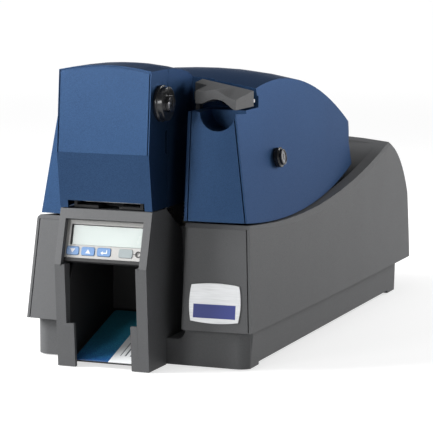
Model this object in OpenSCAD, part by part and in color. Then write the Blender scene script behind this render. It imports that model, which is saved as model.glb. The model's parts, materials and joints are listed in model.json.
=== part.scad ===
// Desktop card printer with a front card hopper, a hinged main cover and an output bin.
// X runs to the right, Y to the back, Z up. Sizes along Y are laid out from the lower
// front edge of the grey housing, and place() moves them to the origin in the middle
// of the footprint, on the desk.

/* [Card] */
// Width of a card
card_w = 54; // [52:0.5:56]
// Length of a card
card_l = 85.6; // [84:0.1:87]
// Thickness of a card
card_t = 0.76; // [0.5:0.01:1]
// Space left on each side of a card in its guides
card_play = 0.5; // [0.3:0.1:1]

/* [Housing] */
// Width of the housing at its lower front edge
housing_front_w = 197; // [192:1:200]
// Width of the housing at its lower rear edge
housing_rear_w = 200.6; // [196:0.2:203]
// How far each side swells beyond its straight chord
side_swell = 1.4; // [0.5:0.1:2.5]
// How far the front swells beyond its straight chord
front_swell = 4; // [2:0.5:6]
// Length from the lower front edge to the rearmost point
housing_l = 434.8; // [430:0.2:440]
// Height of the lower edge of the housing
housing_z = 31.7; // [30:0.1:34]
// Height of the upper edge at the front
housing_front_z = 113; // [111:0.5:114]
// Height of the rear hump at its sides
hump_z = 143; // [141:0.5:146]
// Distance of the hump's highest edge from the front
hump_y = 384; // [380:1:388]
// Depth of the saddle below the line from front edge to hump
saddle = 19; // [17:0.5:20]
// Backward lean of the housing's front
housing_lean = 7.2; // [6:0.1:8]
// Inward lean of the housing's sides
side_lean = 4; // [3:0.1:5]
// Width of the bevelled upper edge
rim_bevel = 3; // [2:0.5:4]
// Thickness of the moulded walls
wall = 2.5; // [2:0.1:3]
// Half width of the service well in the top
well_half = 82; // [80:0.5:84]

/* [Base] */
// Width of the base tray at its top
base_w = 189; // [186:1:192]
// Distance of the base tray's front from the front datum
base_y = 6.3; // [5:0.1:8]
// Length of the base tray
base_l = 405; // [400:1:410]
// Diameter of a rubber foot
foot_d = 16; // [12:1:20]
// How far the rubber feet stand out below the base
foot_h = 1; // [0.8:0.1:1.5]

/* [Cover] */
// Width of the cover at its lower edge
cover_w = 180; // [176:1:182]
// Height of the cover's lower edge at the front
cover_z = 117.5; // [117:0.5:119]
// Width of the cover at its rear
cover_rear_w = 158; // [154:1:160]
// How far each side swells beyond its straight chord
cover_swell = 1.5; // [0.5:0.1:2.5]
// Highest point of the cover's side edges
cover_top = 223; // [220:1:226]
// Distance of that point from the front datum
cover_crest_y = 125; // [120:1:130]
// Radius of the roof seen from the side
roof_r = 395; // [385:5:410]
// Height of the roof's crown above its side edges
roof_crown = 7.5; // [5:0.5:9]
// Rearmost point of the cover
cover_rear = 328; // [324:0.5:329]
// Distance of the cover's lower front edge from the front datum
cover_y = 12.6; // [12:0.1:14]
// Backward lean of the cover's front
cover_lean = 6; // [5:0.1:7]
// Inward lean of the cover's sides
cover_side_lean = 8.4; // [7.5:0.1:9]
// Greatest opening angle of the cover, stopped by the deck behind it
cover_open = 50; // [40:1:52]

/* [Tower] */
// Width of the hopper tower
tower_w = 79.6; // [78:0.2:82]
// Distance of the tower's middle to the left of the printer's middle
tower_left = 16.5; // [15:0.5:18]
// Height of the tower's side edges
tower_top = 237.9; // [234:0.1:242]
// Height of the tower's crown above its side edges
tower_crown = 4.2; // [3:0.1:6]
// Height of the joint between hopper and bezel
bezel_z = 127.3; // [126:0.1:129]
// Height of the crease in the grey bezel
crease_z = 83.6; // [80:0.2:86]
// Height of the crease in the hopper door
door_crease_z = 172.9; // [168:0.5:178]
// How far the bezel's crease stands in front of the front datum
nose = 34.4; // [33:0.1:36]
// Distance of the tower's back from the front datum
tower_back = 73; // [72:0.5:74]
// Greatest opening angle of the hopper door
door_open = 90; // [60:1:95]

/* [Drive] */
// Module of the gears
gear_m = 1; // [1:0.1:1]
// Width of a gear
gear_w = 4.4; // [3:0.1:4.6]
// Radius of the transport, pick and platen rollers
roller_r = 9; // [8:0.5:9.5]
// Radius of a roller's journal
journal_r = 3; // [2.5:0.1:3.5]
// Height of the card path
path_z = 130; // [129:0.5:131]
// Distance of the print line from the front datum
platen_y = 168; // [166:0.5:170]

/* [Clearances] */
// Radial running clearance of a turning journal
run_fit = 0.05; // [0.02:0.01:0.08]
// Gap between a moving panel and its neighbour
panel_gap = 0.6; // [0.4:0.1:1]
// Gap between a fixed piece and its seat
seat_gap = 0.3; // [0.2:0.05:0.4]

/* [Hidden] */
$fn = 48;

eps = 0.01;
far = 600;

// ---- places worked out from the driving dimensions ----
tower_x = -tower_left;
tower_x0 = tower_x - tower_w / 2;
tower_x1 = tower_x + tower_w / 2;
y_shift = -(housing_l - nose) / 2;
roller_z = path_z + 1 - roller_r;
base_floor = 3.5;
chassis_z = base_floor + 2.5;

// ---- shapes shared by many pieces ----
// Moves a piece from the front datum to the origin of the part
module place() {
  translate([0, y_shift, 0])
    children();
}

// Prism along X whose section is drawn with Y to the right and Z up
module along_x(x0, x1) {
  translate([x0, 0, 0])
    rotate([90, 0, 90])
      linear_extrude(x1 - x0)
        children();
}

// Prism along Y whose section is drawn with X to the right and Z up
module along_y(y0, y1) {
  translate([0, y1, 0])
    rotate([90, 0, 0])
      linear_extrude(y1 - y0)
        children();
}

// Prism along Z
module along_z(z0, z1) {
  translate([0, 0, z0])
    linear_extrude(z1 - z0)
      children();
}

// Cylinder along X between two places
module rod_x(x0, x1, y, z, r) {
  translate([x0, y, z])
    rotate([0, 90, 0])
      cylinder(h = x1 - x0, r = r);
}

// Box between two corners
module block(lo, hi) {
  translate(lo)
    cube(hi - lo);
}

// Rectangle with round corners, centred on x and y
module round_rect(w, h, r) {
  for (sx = [-1, 1])
    for (sy = [-1, 1])
      translate([sx * (w / 2 - r), sy * (h / 2 - r)])
        circle(r);
  square([w - 2 * r, h], center = true);
  square([w, h - 2 * r], center = true);
}

// Points from p to q on a shallow parabola that rises to the left of the way p to q
function bow(p, q, rise, n) = [for (i = [0 : n])
  let (t = i / n, d = q - p, l = norm(d))
  p + t * d + 4 * rise * t * (1 - t) * [-d[1], d[0]] / l];

// Points on an arc
function arc(c, r, a0, a1, n) = [for (i = [0 : n])
  let (a = a0 + (a1 - a0) * i / n)
  [c[0] + r * cos(a), c[1] + r * sin(a)]];

// One side of a crowned roof: the prism whose upper edge runs parallel to the drawn
// outline and slopes down outwards, touching the crown at x_t
module crown_slice(points, x_t, crown_h, half) {
  tilt = atan(2 * crown_h * x_t / (half * half));
  lift = crown_h * (1 - pow(x_t / half, 2));
  rotate([0, tilt, 0])
    along_x(-far, far)
      polygon([for (p = points)
        [p[0], (p[1] + lift + x_t * tan(tilt)) * cos(tilt)]]);
}

// Space under a crowned roof, as flat-sided slices that touch the crown
module crown(points, crown_h, half) {
  intersection() {
    crown_slice(points, half * 0.2, crown_h, half);
    crown_slice(points, half * 0.55, crown_h, half);
    crown_slice(points, half * 0.88, crown_h, half);
    mirror([1, 0, 0])
      crown_slice(points, half * 0.2, crown_h, half);
    mirror([1, 0, 0])
      crown_slice(points, half * 0.55, crown_h, half);
    mirror([1, 0, 0])
      crown_slice(points, half * 0.88, crown_h, half);
  }
}

// Front face that leans back by lean and swells forward in the middle
module leaning_front(y, z, lean, half, swell, inset) {
  edge = [for (i = [-16 : 16]) let (x = i / 16 * (half + 20))
    [x, inset - swell * (1 - pow(x / half, 2))]];
  translate([0, y, z])
    rotate([-lean, 0, 0])
      translate([0, 0, -far / 2])
        linear_extrude(far)
          polygon(concat([[-far, far], [-far, edge[0][1]]], edge,
            [[far, edge[32][1]], [far, far]]));
}

// Side face that leans inwards by lean and swells between its two ends
module leaning_side(half_front, half_rear, y0, y1, z, lean, swell, inset) {
  edge = bow([half_front * cos(lean) - inset, y0], [half_rear * cos(lean) - inset, y1],
    -swell, 24);
  translate([0, 0, z])
    rotate([0, -lean, 0])
      translate([0, 0, -far / 2])
        linear_extrude(far)
          polygon(concat([[-far, -far], [edge[0][0], -far]], edge,
            [[edge[24][0], far], [-far, far]]));
}

// Both leaning side faces at once
module between_sides(half_front, half_rear, y0, y1, z, lean, swell, inset) {
  intersection() {
    leaning_side(half_front, half_rear, y0, y1, z, lean, swell, inset);
    mirror([1, 0, 0])
      leaning_side(half_front, half_rear, y0, y1, z, lean, swell, inset);
  }
}

// ---- grey housing ----
rim_y = (housing_front_z - housing_z) * tan(housing_lean);
rim_half = housing_front_w / 2 - (housing_front_z - housing_z) * tan(side_lean);
hump_crown = 6;
hump_round = 9.8;
back_corner_r = 16;
saddle_line = bow([rim_y, housing_front_z], [hump_y, hump_z], -saddle, 30);
back_line = bow([hump_y, hump_z], [housing_l - 2.3, hump_z - 51], hump_round, 12);
back_foot = [[housing_l, 64.9], [housing_l - 3.5, housing_z]];

// Upper edge and back of the housing, raised by lift at the side edges and by rise more
// towards the hump
function housing_line(lift, rise) = concat([[-nose, housing_front_z + lift]],
  [for (i = [0 : 30]) saddle_line[i] + [0, lift + rise * i / 30]],
  [for (p = back_line) p + [0, (lift + rise) * (p[1] - hump_z + 51) / 51]], back_foot);

module housing_form(inset, front_inset) {
  roof = concat(housing_line(rim_bevel - inset, 0), [[housing_l, -far], [-nose, -far]]);
  x_bevel = rim_half + rim_bevel / 2 - inset;
  intersection() {
    along_x(-far, far)
      offset(delta = -inset)
        polygon(concat(housing_line(rim_bevel, hump_crown), [[-nose, housing_z]]));
    leaning_front(0, housing_z, housing_lean, housing_front_w / 2, front_swell,
      front_inset);
    leaning_front(rim_y, housing_front_z, 45, housing_front_w / 2,
      front_swell * cos(45), front_inset * cos(45));
    between_sides(housing_front_w / 2, housing_rear_w / 2, 0, housing_l, housing_z,
      side_lean, side_swell, inset);
    along_z(0, 2 * hump_z)
      translate([0, housing_l - inset - far / 2])
        round_rect(housing_rear_w + 2 * side_swell - 2 * inset, far,
          back_corner_r - inset);
    crown(roof, hump_crown, rim_half);
    bevel_slice(roof, x_bevel);
    mirror([1, 0, 0])
      bevel_slice(roof, x_bevel);
  }
}

// Bevel of 45 degrees that starts on the side face, rim_bevel below the upper edge
module bevel_slice(roof, x_bevel) {
  rotate([0, 45, 0])
    along_x(-far, far)
      polygon([for (p = roof) [p[0], (p[1] - rim_bevel + x_bevel) * cos(45)]]);
}

// Bay in the front that takes the back of the tower
bay_x0 = tower_x0 - 1.2;
bay_x1 = 39;
bay_y = 42;
bay_z = 22;
bay_r = 7;
module bay(grow) {
  along_y(-nose, bay_y + grow)
    polygon(concat([[bay_x0 - grow, far], [bay_x0 - grow, bay_z - grow]],
      arc([bay_x1 - bay_r, bay_z + bay_r], bay_r + grow, -90, 0, 8),
      [[bay_x1 + grow, far]]));
}

// Opening behind the bay through which the card path and the output tray pass
path_x0 = tower_x - 34.5;
path_x1 = tower_x1 - wall - 0.2;
module path_window(z0) {
  block([path_x0, base_y + 20, z0], [path_x1, well_y + wall + eps, far]);
}

// Service well under the cover and the curved deck behind it
lip_y = 14;
lip_z = 108;
well_y = 84;
well_z = 100;
well_rim = 10;
deck_y = cover_rear + 12;
deck_top = [hump_y - 8, hump_z + rim_bevel - 0.7];
deck_round = 7;
module well(grow) {
  half = well_half + grow;
  along_x(-half, half)
    offset(delta = grow)
      polygon(concat([[lip_y, far], [lip_y, lip_z], [well_y, lip_z], [well_y, well_z],
        [deck_y, well_z]], bow([deck_y, lip_z], deck_top, deck_round, 10),
        [[deck_top[0], far]]));
}

// Zone of the separate front moulding, narrower than the front by the groove at each side
fascia_groove = 3;
fascia_gap = 0.8;
module front_zone(groove) {
  intersection() {
    difference() {
      block([-far, -nose, housing_z - 1],
        [far, far, housing_front_z + fascia_gap / 2 - groove / 4]);
      leaning_front(0, housing_z, housing_lean, housing_front_w / 2, front_swell, wall);
    }
    between_sides(housing_front_w / 2, housing_rear_w / 2, 0, housing_l, housing_z,
      side_lean, side_swell, groove);
  }
}

// Ventilation slots in the back of the housing
rear_vent_n = 9;
vent_pitch = 9;
module rear_vents() {
  for (i = [0 : rear_vent_n - 1])
    translate([-vent_pitch * (rear_vent_n + 3) / 2 + vent_pitch * i, housing_l, 106])
      rotate([90, 0, 0])
        linear_extrude(30, center = true)
          round_rect(3, 14, 1.4);
}

module lower_housing() {
  place()
    color("#5b5d60")
      difference() {
        union() {
          difference() {
            housing_form(0, 0);
            housing_form(wall, 2 * wall);
          }
          intersection() {
            housing_form(0, wall);
            union() {
              well(wall);
              bay(wall);
            }
          }
        }
        well(0);
        bay(0);
        path_window(housing_z - 1);
        block([well_rim - well_half, well_y + wall, well_z - 2 * wall],
          [well_half - well_rim, axis_y - 18, well_z + 1]);
        both_sides()
          block([arm_x0 - 4, axis_y - 20, well_z - 2 * wall],
            [well_half - well_rim, axis_y + 18, well_z + 1]);
        front_zone(fascia_groove - fascia_gap);
        base_form(-seat_gap, base_top + seat_gap);
        rear_vents();
        rear_cutouts(seat_gap);
      }
}

module front_fascia() {
  place()
    color("#5f6164")
      difference() {
        intersection() {
          housing_form(0, 0);
          front_zone(fascia_groove);
        }
        bay(wall + run_fit);
        badge_pocket();
      }
}

// Bare silver plate in a shallow pocket of the front moulding
badge_x = housing_front_w / 2 - 31.3;
badge_z = 54;
badge_w = 40;
badge_h = 29;
badge_bulge = 1.6;
badge_depth = 1.2;
badge_t = 2;
module on_front(x, z, depth) {
  y = (z - housing_z) * tan(housing_lean) - front_swell * (1 - pow(2 * x / housing_front_w, 2));
  turn = atan(8 * front_swell * x / (housing_front_w * housing_front_w));
  translate([x, y, z])
    rotate([90 - housing_lean, 0, turn])
      translate([0, 0, -depth])
        children();
}

module badge_outline(grow) {
  w = badge_w / 2;
  h = badge_h / 2;
  offset(delta = grow)
    polygon(concat(bow([w, -h], [w, h], -badge_bulge, 8),
      bow([w, h], [-w, h], -badge_bulge, 8),
      bow([-w, h], [-w, -h], -badge_bulge, 8),
      bow([-w, -h], [w, -h], -badge_bulge, 8)));
}

module badge_pocket() {
  on_front(badge_x, badge_z, badge_depth)
    linear_extrude(3 * badge_t)
      badge_outline(seat_gap / 2);
}

module badge_plate() {
  place()
    color("silver")
      on_front(badge_x, badge_z, badge_depth - eps)
        linear_extrude(badge_t)
          badge_outline(0);
}

// ---- base tray ----
base_top = 36;
base_lean = -2.4;
base_corner_r = 12;
base_pad = 25;
base_back = base_y + base_l;
module base_form(inset, z1) {
  intersection() {
    along_z(foot_h, z1)
      translate([0, base_y + base_l / 2])
        round_rect(base_w - 2 * inset, base_l - 2 * inset, base_corner_r - inset);
    between_sides(base_w / 2, base_w / 2 - 2.5, base_y, base_back, base_top, base_lean,
      0, inset);
  }
}

board_posts = [[40, 95], [84, 95], [40, 255], [84, 255]];
post_r = 3;
module base_tray() {
  place()
    color("#626467")
      difference() {
        union() {
          difference() {
            base_form(0, base_top);
            translate([0, 0, chassis_z - foot_h])
              base_form(wall, base_top);
          }
          intersection() {
            base_form(0, base_top);
            difference() {
              bay(wall);
              block([path_x0, -nose, 0], [path_x1, far, base_top]);
            }
          }
          for (p = board_posts)
            translate([p[0], p[1], chassis_z])
              cylinder(h = board_z - chassis_z, r = post_r);
        }
        bay(0);
        tray_room(tray_wall + seat_gap, path_x0, path_x1);
        base_underside();
        for (side = [-1, 1])
          translate([side * (base_w / 2 - 3.4), base_y - 1, 0])
            cube([1, 2, base_top]);
        translate([0, 0, -1])
          for (p = foot_places)
            translate([p[0], p[1], 0])
              cylinder(h = foot_h + 2.2, r = foot_d / 2 + run_fit);
      }
}

// Hollow underside between the front skirt and the four corner pads
module base_underside() {
  block([base_pad - base_w / 2, base_y + wall, 0],
    [base_w / 2 - base_pad, base_back + 1, base_floor]);
  block([-far, base_y + base_pad, 0], [far, base_back - base_pad, base_floor]);
}

foot_places = [for (sx = [-1, 1]) for (y = [base_y + base_pad / 2 + 1,
  base_back - base_pad / 2 - 1]) [sx * (base_w / 2 - base_pad / 2 - 2), y]];
module rubber_feet() {
  place()
    color("#101010")
      for (p = foot_places)
        translate([p[0], p[1], 0])
          cylinder(h = foot_h + 1.2, r = foot_d / 2);
}

// ---- output bin and finished card ----
tray_x0 = tower_x - 33.5;
tray_x1 = tower_x + 33;
tray_wall = 2.2;
tray_y0 = -24;
tray_y1 = 62;
tray_top = 82;
tray_slope = 17.6;
tray_lip_z = 5.4;
card_front_y = -25.6;
function tray_z(y) = tray_lip_z + (y - card_front_y) * tan(tray_slope);

// Room above the sloping floor, lowered by drop
module tray_room(drop, x0, x1) {
  along_x(x0, x1)
    polygon([[-far, tray_z(-far) - drop], [tray_y1 + wall, tray_z(tray_y1 + wall) - drop],
      [tray_y1 + wall, far], [-far, far]]);
}

module output_tray() {
  place()
    color("#151617")
      difference() {
        along_x(tray_x0, tray_x1)
          polygon([[tray_y0, tray_z(tray_y0) - tray_wall], [tray_y0, tray_top - 14],
            [tray_y0 + 8, tray_top], [tray_y1, tray_top],
            [tray_y1, tray_z(tray_y1) - tray_wall]]);
        along_x(tray_x0 + tray_wall, tray_x1 - tray_wall)
          polygon([[tray_y0 - 2, tray_z(tray_y0 - 2)],
            [tray_y1 - tray_wall, tray_z(tray_y1 - tray_wall)],
            [tray_y1 - tray_wall, far], [tray_y0 - 2, far]]);
      }
}

card_corner_r = 3.18;
module printed_card() {
  place()
    color("white")
      translate([tower_x - 1, card_front_y, tray_lip_z])
        rotate([tray_slope, 0, 0])
          translate([0, card_l / 2, eps])
            linear_extrude(card_t)
              round_rect(card_w, card_l, card_corner_r);
}

// ---- grey bezel of the tower ----
bezel_foot_z = 0.6;
bezel_foot_y = -29.5;
bezel_top_y = -21.7;
bezel_back = 39;
bezel_seat_z = bay_z + seat_gap;
bezel_tilt = atan((nose + bezel_top_y) / (bezel_z - crease_z));
window_u0 = -34.4;
window_u1 = 33.2;
window_v1 = 37.3;
bin_u0 = -31.1;
bin_u1 = 30.4;
collar = 5.4;
leg_back = -24.5;

// Place on the slanted upper panel of the bezel: u right, v up the slope, w outwards
module on_bezel() {
  translate([tower_x, -nose, crease_z])
    rotate([90 - bezel_tilt, 0, 0])
      children();
}

function bezel_y(z) = bezel_foot_y + (z - bezel_foot_z) * (-nose - bezel_foot_y)
  / (crease_z - bezel_foot_z);

// Short upright tab between a leg and the bin opening, with a deeper foot
tab_t = 3.5;
tab_foot_z = 5.5;
tab_foot_y = -17;
module bezel_tab(x0, x1, top) {
  along_x(x0, x1)
    polygon([[bezel_foot_y, bezel_foot_z], [bezel_y(top), top], [bezel_y(top) + tab_t, top],
      [bezel_foot_y + tab_t, tab_foot_z - 1.5], [bezel_foot_y + tab_t, bezel_foot_z]]);
}

module tower_bezel() {
  place()
    color("#626467")
      difference() {
        union() {
          difference() {
            along_x(tower_x0, tower_x1)
              polygon([[bezel_foot_y, bezel_foot_z], [-nose, crease_z],
                [bezel_top_y, bezel_z], [5.7, bezel_z - 0.4], [15.8, 120.6],
                [26.1, 113.6], [32.8, 111], [36.6, 105.6], [bezel_back, 100],
                [bezel_back, bezel_seat_z], [base_y - 0.8, bezel_seat_z],
                [base_y - 0.8, bezel_foot_z]]);
            along_x(tower_x0 + wall, tower_x1 - wall)
              offset(delta = -wall)
                polygon([[bezel_foot_y, -far], [bezel_foot_y, bezel_foot_z],
                  [-nose, crease_z], [bezel_top_y, bezel_z],
                  [far, bezel_z], [far, -far]]);
            on_bezel()
              block([window_u0, -1, -2 * wall], [window_u1, window_v1, wall]);
            block([tower_x + bin_u0, -far, -1], [tower_x + bin_u1, 0, crease_z]);
          }
          on_bezel()
            difference() {
              block([window_u0 - 1.6, 0, -collar],
                [window_u1 + 1.6, window_v1 + 1.6, -wall / 2]);
              block([window_u0, -1, -2 * collar], [window_u1, window_v1, wall]);
            }
          leg_return(tower_x + bin_u0 - wall, tower_x + bin_u0);
          leg_return(tower_x + bin_u1, tower_x + bin_u1 + wall);
          bezel_tab(tower_x + bin_u0 - 1, tower_x + bin_u0 + 6.6, 36);
          bezel_tab(tower_x + bin_u1 - 5.7, tower_x + bin_u1 + 1, 36.8);
        }
      }
}

// Inner side of a leg beside the bin opening
module leg_return(x0, x1) {
  along_x(x0, x1)
    polygon([[bezel_foot_y, bezel_foot_z], [-nose, crease_z], [leg_back, crease_z],
      [leg_back, bezel_foot_z]]);
}

// ---- display unit ----
panel_w0 = -7.5;
panel_w1 = -5.5;
panel_u0 = -36;
panel_u1 = 35;
panel_v0 = 6.8;
panel_v1 = 39;
lcd_lo = [-30.6, 17.3];
lcd_hi = [31, 33.7];
key_v0 = 9;
key_v1 = 15.8;
key_w1 = -5;
key_w0 = -9.3;
key_down_u = [-33.1, -22.2];
key_up_u = [-20, -8.4];
key_enter_u = [-6.3, 5.6];
key_cancel_u = [12.5, 24.3];
lamp_uv = [29.3, 12.2];
lamp_r = 2.6;

module key_shape(u, grow) {
  translate([(u[0] + u[1]) / 2, (key_v0 + key_v1) / 2])
    round_rect(u[1] - u[0] + 2 * grow, key_v1 - key_v0 + 2 * grow, 1.6);
}

module display_panel() {
  place()
    color("#c9c9c6")
      on_bezel() {
        difference() {
          block([panel_u0, panel_v0, panel_w0], [panel_u1, panel_v1, panel_w1]);
          block([lcd_lo[0] - seat_gap / 2, lcd_lo[1] - seat_gap / 2, panel_w0 - 1],
            [lcd_hi[0] + seat_gap / 2, lcd_hi[1] + seat_gap / 2, panel_w1 + 1]);
          for (u = [key_down_u, key_up_u, key_enter_u, key_cancel_u])
            translate([0, 0, panel_w0 - 1])
              linear_extrude(4)
                key_shape(u, 0.15);
          translate([lamp_uv[0], lamp_uv[1], panel_w1 - 0.6])
            cylinder(h = 2, r = lamp_r - 0.8);
        }
        translate([lamp_uv[0], lamp_uv[1], panel_w1 - eps])
          difference() {
            cylinder(h = 0.4, r = lamp_r);
            translate([0, 0, -1])
              cylinder(h = 3, r = lamp_r - 0.8);
          }
        block([key_cancel_u[1] + 0.4, lamp_uv[1] - 0.25, panel_w1 - eps],
          [lamp_uv[0] - lamp_r + 0.3, lamp_uv[1] + 0.25, panel_w1 + 0.3]);
      }
}

module lcd_screen() {
  place()
    color("#d5e2dc")
      on_bezel()
        block([lcd_lo[0], lcd_lo[1], panel_w0 - 1.4], [lcd_hi[0], lcd_hi[1], panel_w1 - 0.6]);
}

// Black case behind the panel, with the lip that shows below it
case_w0 = -14;
case_wall = 1.4;
board_w0 = -12.4;
board_w1 = -10.8;
module display_housing() {
  place()
    color("#141516")
      on_bezel() {
        difference() {
          block([panel_u0 - 0.4, panel_v0 - 3, case_w0],
            [panel_u1 + 0.4, panel_v1 - 0.6, panel_w0 - 0.1]);
          block([panel_u0 + 1, panel_v0 - 3 + case_wall, case_w0 + case_wall],
            [panel_u1 - 1, panel_v1 - 2, 0]);
        }
        block([window_u0 + 1, 4, panel_w0 - 0.2], [window_u1 - 1, panel_v0 - 0.2, -4.4]);
      }
}

module display_board() {
  place()
    color("#1f6b3a")
      on_bezel()
        block([panel_u0 + 1.3, panel_v0 - 1, board_w0], [panel_u1 - 1.3, panel_v1 - 2.4,
          board_w1]);
}

// Key with a rim behind the panel that keeps it in
module key(u, tint) {
  place()
    color(tint)
      on_bezel() {
        translate([0, 0, key_w0])
          linear_extrude(key_w1 - key_w0)
            key_shape(u, 0);
        translate([0, 0, panel_w0 - 1])
          linear_extrude(0.8)
            key_shape(u, 0.7);
      }
}

module key_down() {
  key(key_down_u, "#6a8fc4");
}

module key_up() {
  key(key_up_u, "#6a8fc4");
}

module key_enter() {
  key(key_enter_u, "#6a8fc4");
}

module key_cancel() {
  key(key_cancel_u, "#9ba5a5");
}

// ---- hopper tower ----
tower_z0 = bezel_z + panel_gap;
tower_low_y = -21.9;
tower_crease_y = -28.2;
tower_top_y = -22.2;
tower_half = tower_w / 2;
tower_corner_r = 14;
tower_lean = atan((tower_top_y - tower_crease_y) / (tower_top - door_crease_z));
tower_roof = concat([[tower_top_y, tower_top], [11.4, tower_top]],
  bow([20, 237.6], [52, 232.9], 0.8, 4), bow([57, 230.9], [69.1, 223.4], 0.8, 3),
  [[71.6, 219.8], [tower_back, 214]]);
function tower_outline(lift) = concat([[tower_low_y, tower_z0],
  [tower_crease_y, door_crease_z],
  [tower_top_y + lift * tan(tower_lean), tower_top + lift]],
  [for (i = [1 : len(tower_roof) - 1]) tower_roof[i]
    + [0, lift * min(1, (tower_roof[i][1] - 214) / 18)]],
  [[tower_back, tower_z0]]);

module tower_form(inset) {
  roof = concat([[-far, tower_top - inset]], [for (p = tower_roof) p - [0, inset]],
    [[tower_back, -far], [-far, -far]]);
  intersection() {
    along_x(tower_x0 + inset, tower_x1 - inset)
      offset(delta = -inset)
        polygon(tower_outline(tower_crown));
    translate([tower_x, 0, 0])
      crown(roof, tower_crown, tower_half);
    along_z(0, far)
      translate([tower_x, tower_back - inset - far / 2])
        round_rect(tower_w - 2 * inset, far, tower_corner_r - inset);
  }
}

// Walls of the tower, open below
module tower_walls() {
  difference() {
    tower_form(0);
    tower_form(wall);
    block([tower_x0 + wall, tower_low_y + wall, tower_z0 - 1],
      [tower_x1 - wall, tower_back - wall, tower_z0 + 2 * wall]);
  }
}

// Everything in front of the joint between door and shell, shifted back by shift
function seam_y(z) = 7 + (z - tower_z0) * 3.8 / 111;
module before_seam(shift) {
  along_x(-far, far)
    polygon([[-far, 0], [seam_y(0) + shift, 0], [seam_y(far) + shift, far], [-far, far]]);
}

// Side hinge of the door: knuckles of the shell and of the door take turns
hinge_x = tower_x0 - 0.6;
hinge_y = 9;
hinge_r = 2.4;
hinge_pin_r = 1;
knuckle = 7;
hinge_zs = [136, 215];
module hinge_rod(z0, z1, r) {
  translate([hinge_x, hinge_y, z0])
    cylinder(h = z1 - z0, r = r, $fn = 24);
}

module knuckles(low, r, spare) {
  for (z = hinge_zs)
    hinge_rod(z + (low ? 0 : knuckle + 0.2) - spare,
      z + (low ? knuckle : 2 * knuckle + 0.2) + spare, r);
}

// Web that ties a knuckle to its wall, in front of or behind the pin
module hinge_web(low, y0, y1) {
  for (z = hinge_zs)
    block([tower_x0 - 0.6, y0, z + (low ? 0 : knuckle + 0.2)],
      [tower_x0 + wall, y1, z + (low ? knuckle : 2 * knuckle + 0.2)]);
}

// Room in one wall for the other wall's web, and for the heads of the pins
module hinge_web_room(low) {
  for (z = hinge_zs)
    block([tower_x0 - 1, low ? hinge_y - seat_gap : hinge_y - 5 - seat_gap,
      z + (low ? -0.2 : knuckle)], [tower_x0 + wall + 0.2,
      low ? hinge_y + 4 + seat_gap : hinge_y + seat_gap,
      z + (low ? knuckle + 0.2 : 2 * knuckle + 0.4)]);
}

module pin_head_room() {
  for (z = hinge_zs)
    hinge_rod(z + 2 * knuckle + 0.2, z + 2 * knuckle + 1.8, hinge_pin_r + 0.8 + seat_gap);
}

module hopper_shell() {
  place()
    color("#1d3557")
      difference() {
        union() {
          difference() {
            tower_walls();
            before_seam(panel_gap / 2);
            knuckles(false, hinge_r + 0.4, 0.3);
            hinge_web_room(false);
            pin_head_room();
            block([tower_x0 + wall + 1.8, tower_back - 7 * wall, tower_z0 - 1],
              [tower_x1 - wall, tower_back + 1, 143]);
          }
          knuckles(true, hinge_r, 0);
          hinge_web(true, hinge_y, hinge_y + 4);
          lock_hook();
        }
        hinge_rod(hinge_zs[0] - 2, tower_top, hinge_pin_r + run_fit);
      }
}

// Hook of the shell that the lock's cam turns behind
hook_face = 17.5;
module lock_hook() {
  block([14, -12, 231], [hook_face, 14, 234]);
  block([14, -12, lock_z + lock_barrel_r + 2.6], [hook_face, -10, 232]);
  block([14, 11.2, 231], [hook_face, 14, 238]);
}

slot_u0 = -33.1;
slot_u1 = 33.3;
slot_top = 134;
lock_y = -5.5;
lock_z = 212;
lock_r = 14.6;
lock_step = 3;
lock_drum = 7.4;
lock_nose = 10.6;
lock_barrel_r = 10;
plug_r = 6.5;
module hopper_door() {
  place()
    color("#2c4f7d")
      difference() {
        union() {
          intersection() {
            tower_walls();
            before_seam(-panel_gap / 2);
          }
          difference() {
            knuckles(false, hinge_r, 0);
            before_seam(far);
          }
          knuckles(false, hinge_r, 0);
          hinge_web(false, hinge_y - 5, hinge_y);
        }
        knuckles(true, hinge_r + 0.4, 0.3);
        hinge_web_room(true);
        pin_head_room();
        hinge_rod(hinge_zs[0] - 2, tower_top, hinge_pin_r + run_fit);
        block([tower_x + slot_u0, -far, tower_z0 - 1], [tower_x + slot_u1, 0, slot_top]);
        rod_x(tower_x1 - 2 * wall, tower_x1 + 1, lock_y, lock_z,
          lock_barrel_r + seat_gap);
        door_groove();
        translate([tower_x1, seam_y(180), 180])
          rotate([90, 0, 90])
            linear_extrude(4 * wall, center = true)
              round_rect(9, 19, 3);
      }
}

// Groove that frames the upper front panel at its sides and along the crown
groove_edge = 0.5;
groove_w = 1.2;
groove_deep = 0.9;
function door_front(inset, low) = concat([[tower_x0 + inset, door_crease_z - low]],
  bow([tower_x0 + inset, tower_top - inset], [tower_x1 - inset, tower_top - inset],
    tower_crown, 20), [[tower_x1 - inset, door_crease_z - low]]);

module door_groove() {
  intersection() {
    along_y(-nose, 0)
      difference() {
        polygon(door_front(groove_edge, 0));
        polygon(door_front(groove_edge + groove_w, 1));
      }
    along_x(-far, far)
      polygon([[-far, door_crease_z], [tower_crease_y + groove_deep, door_crease_z],
        [tower_top_y + groove_deep + 20 * tan(tower_lean), tower_top + 20],
        [-far, tower_top + 20]]);
  }
}

module hopper_hinge_pin() {
  place()
    color("#a8a8a8")
      for (z = hinge_zs) {
        hinge_rod(z - 0.6, z + 2 * knuckle + 0.8, hinge_pin_r);
        hinge_rod(z + 2 * knuckle + 0.4, z + 2 * knuckle + 1.4, hinge_pin_r + 0.8);
      }
}

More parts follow.
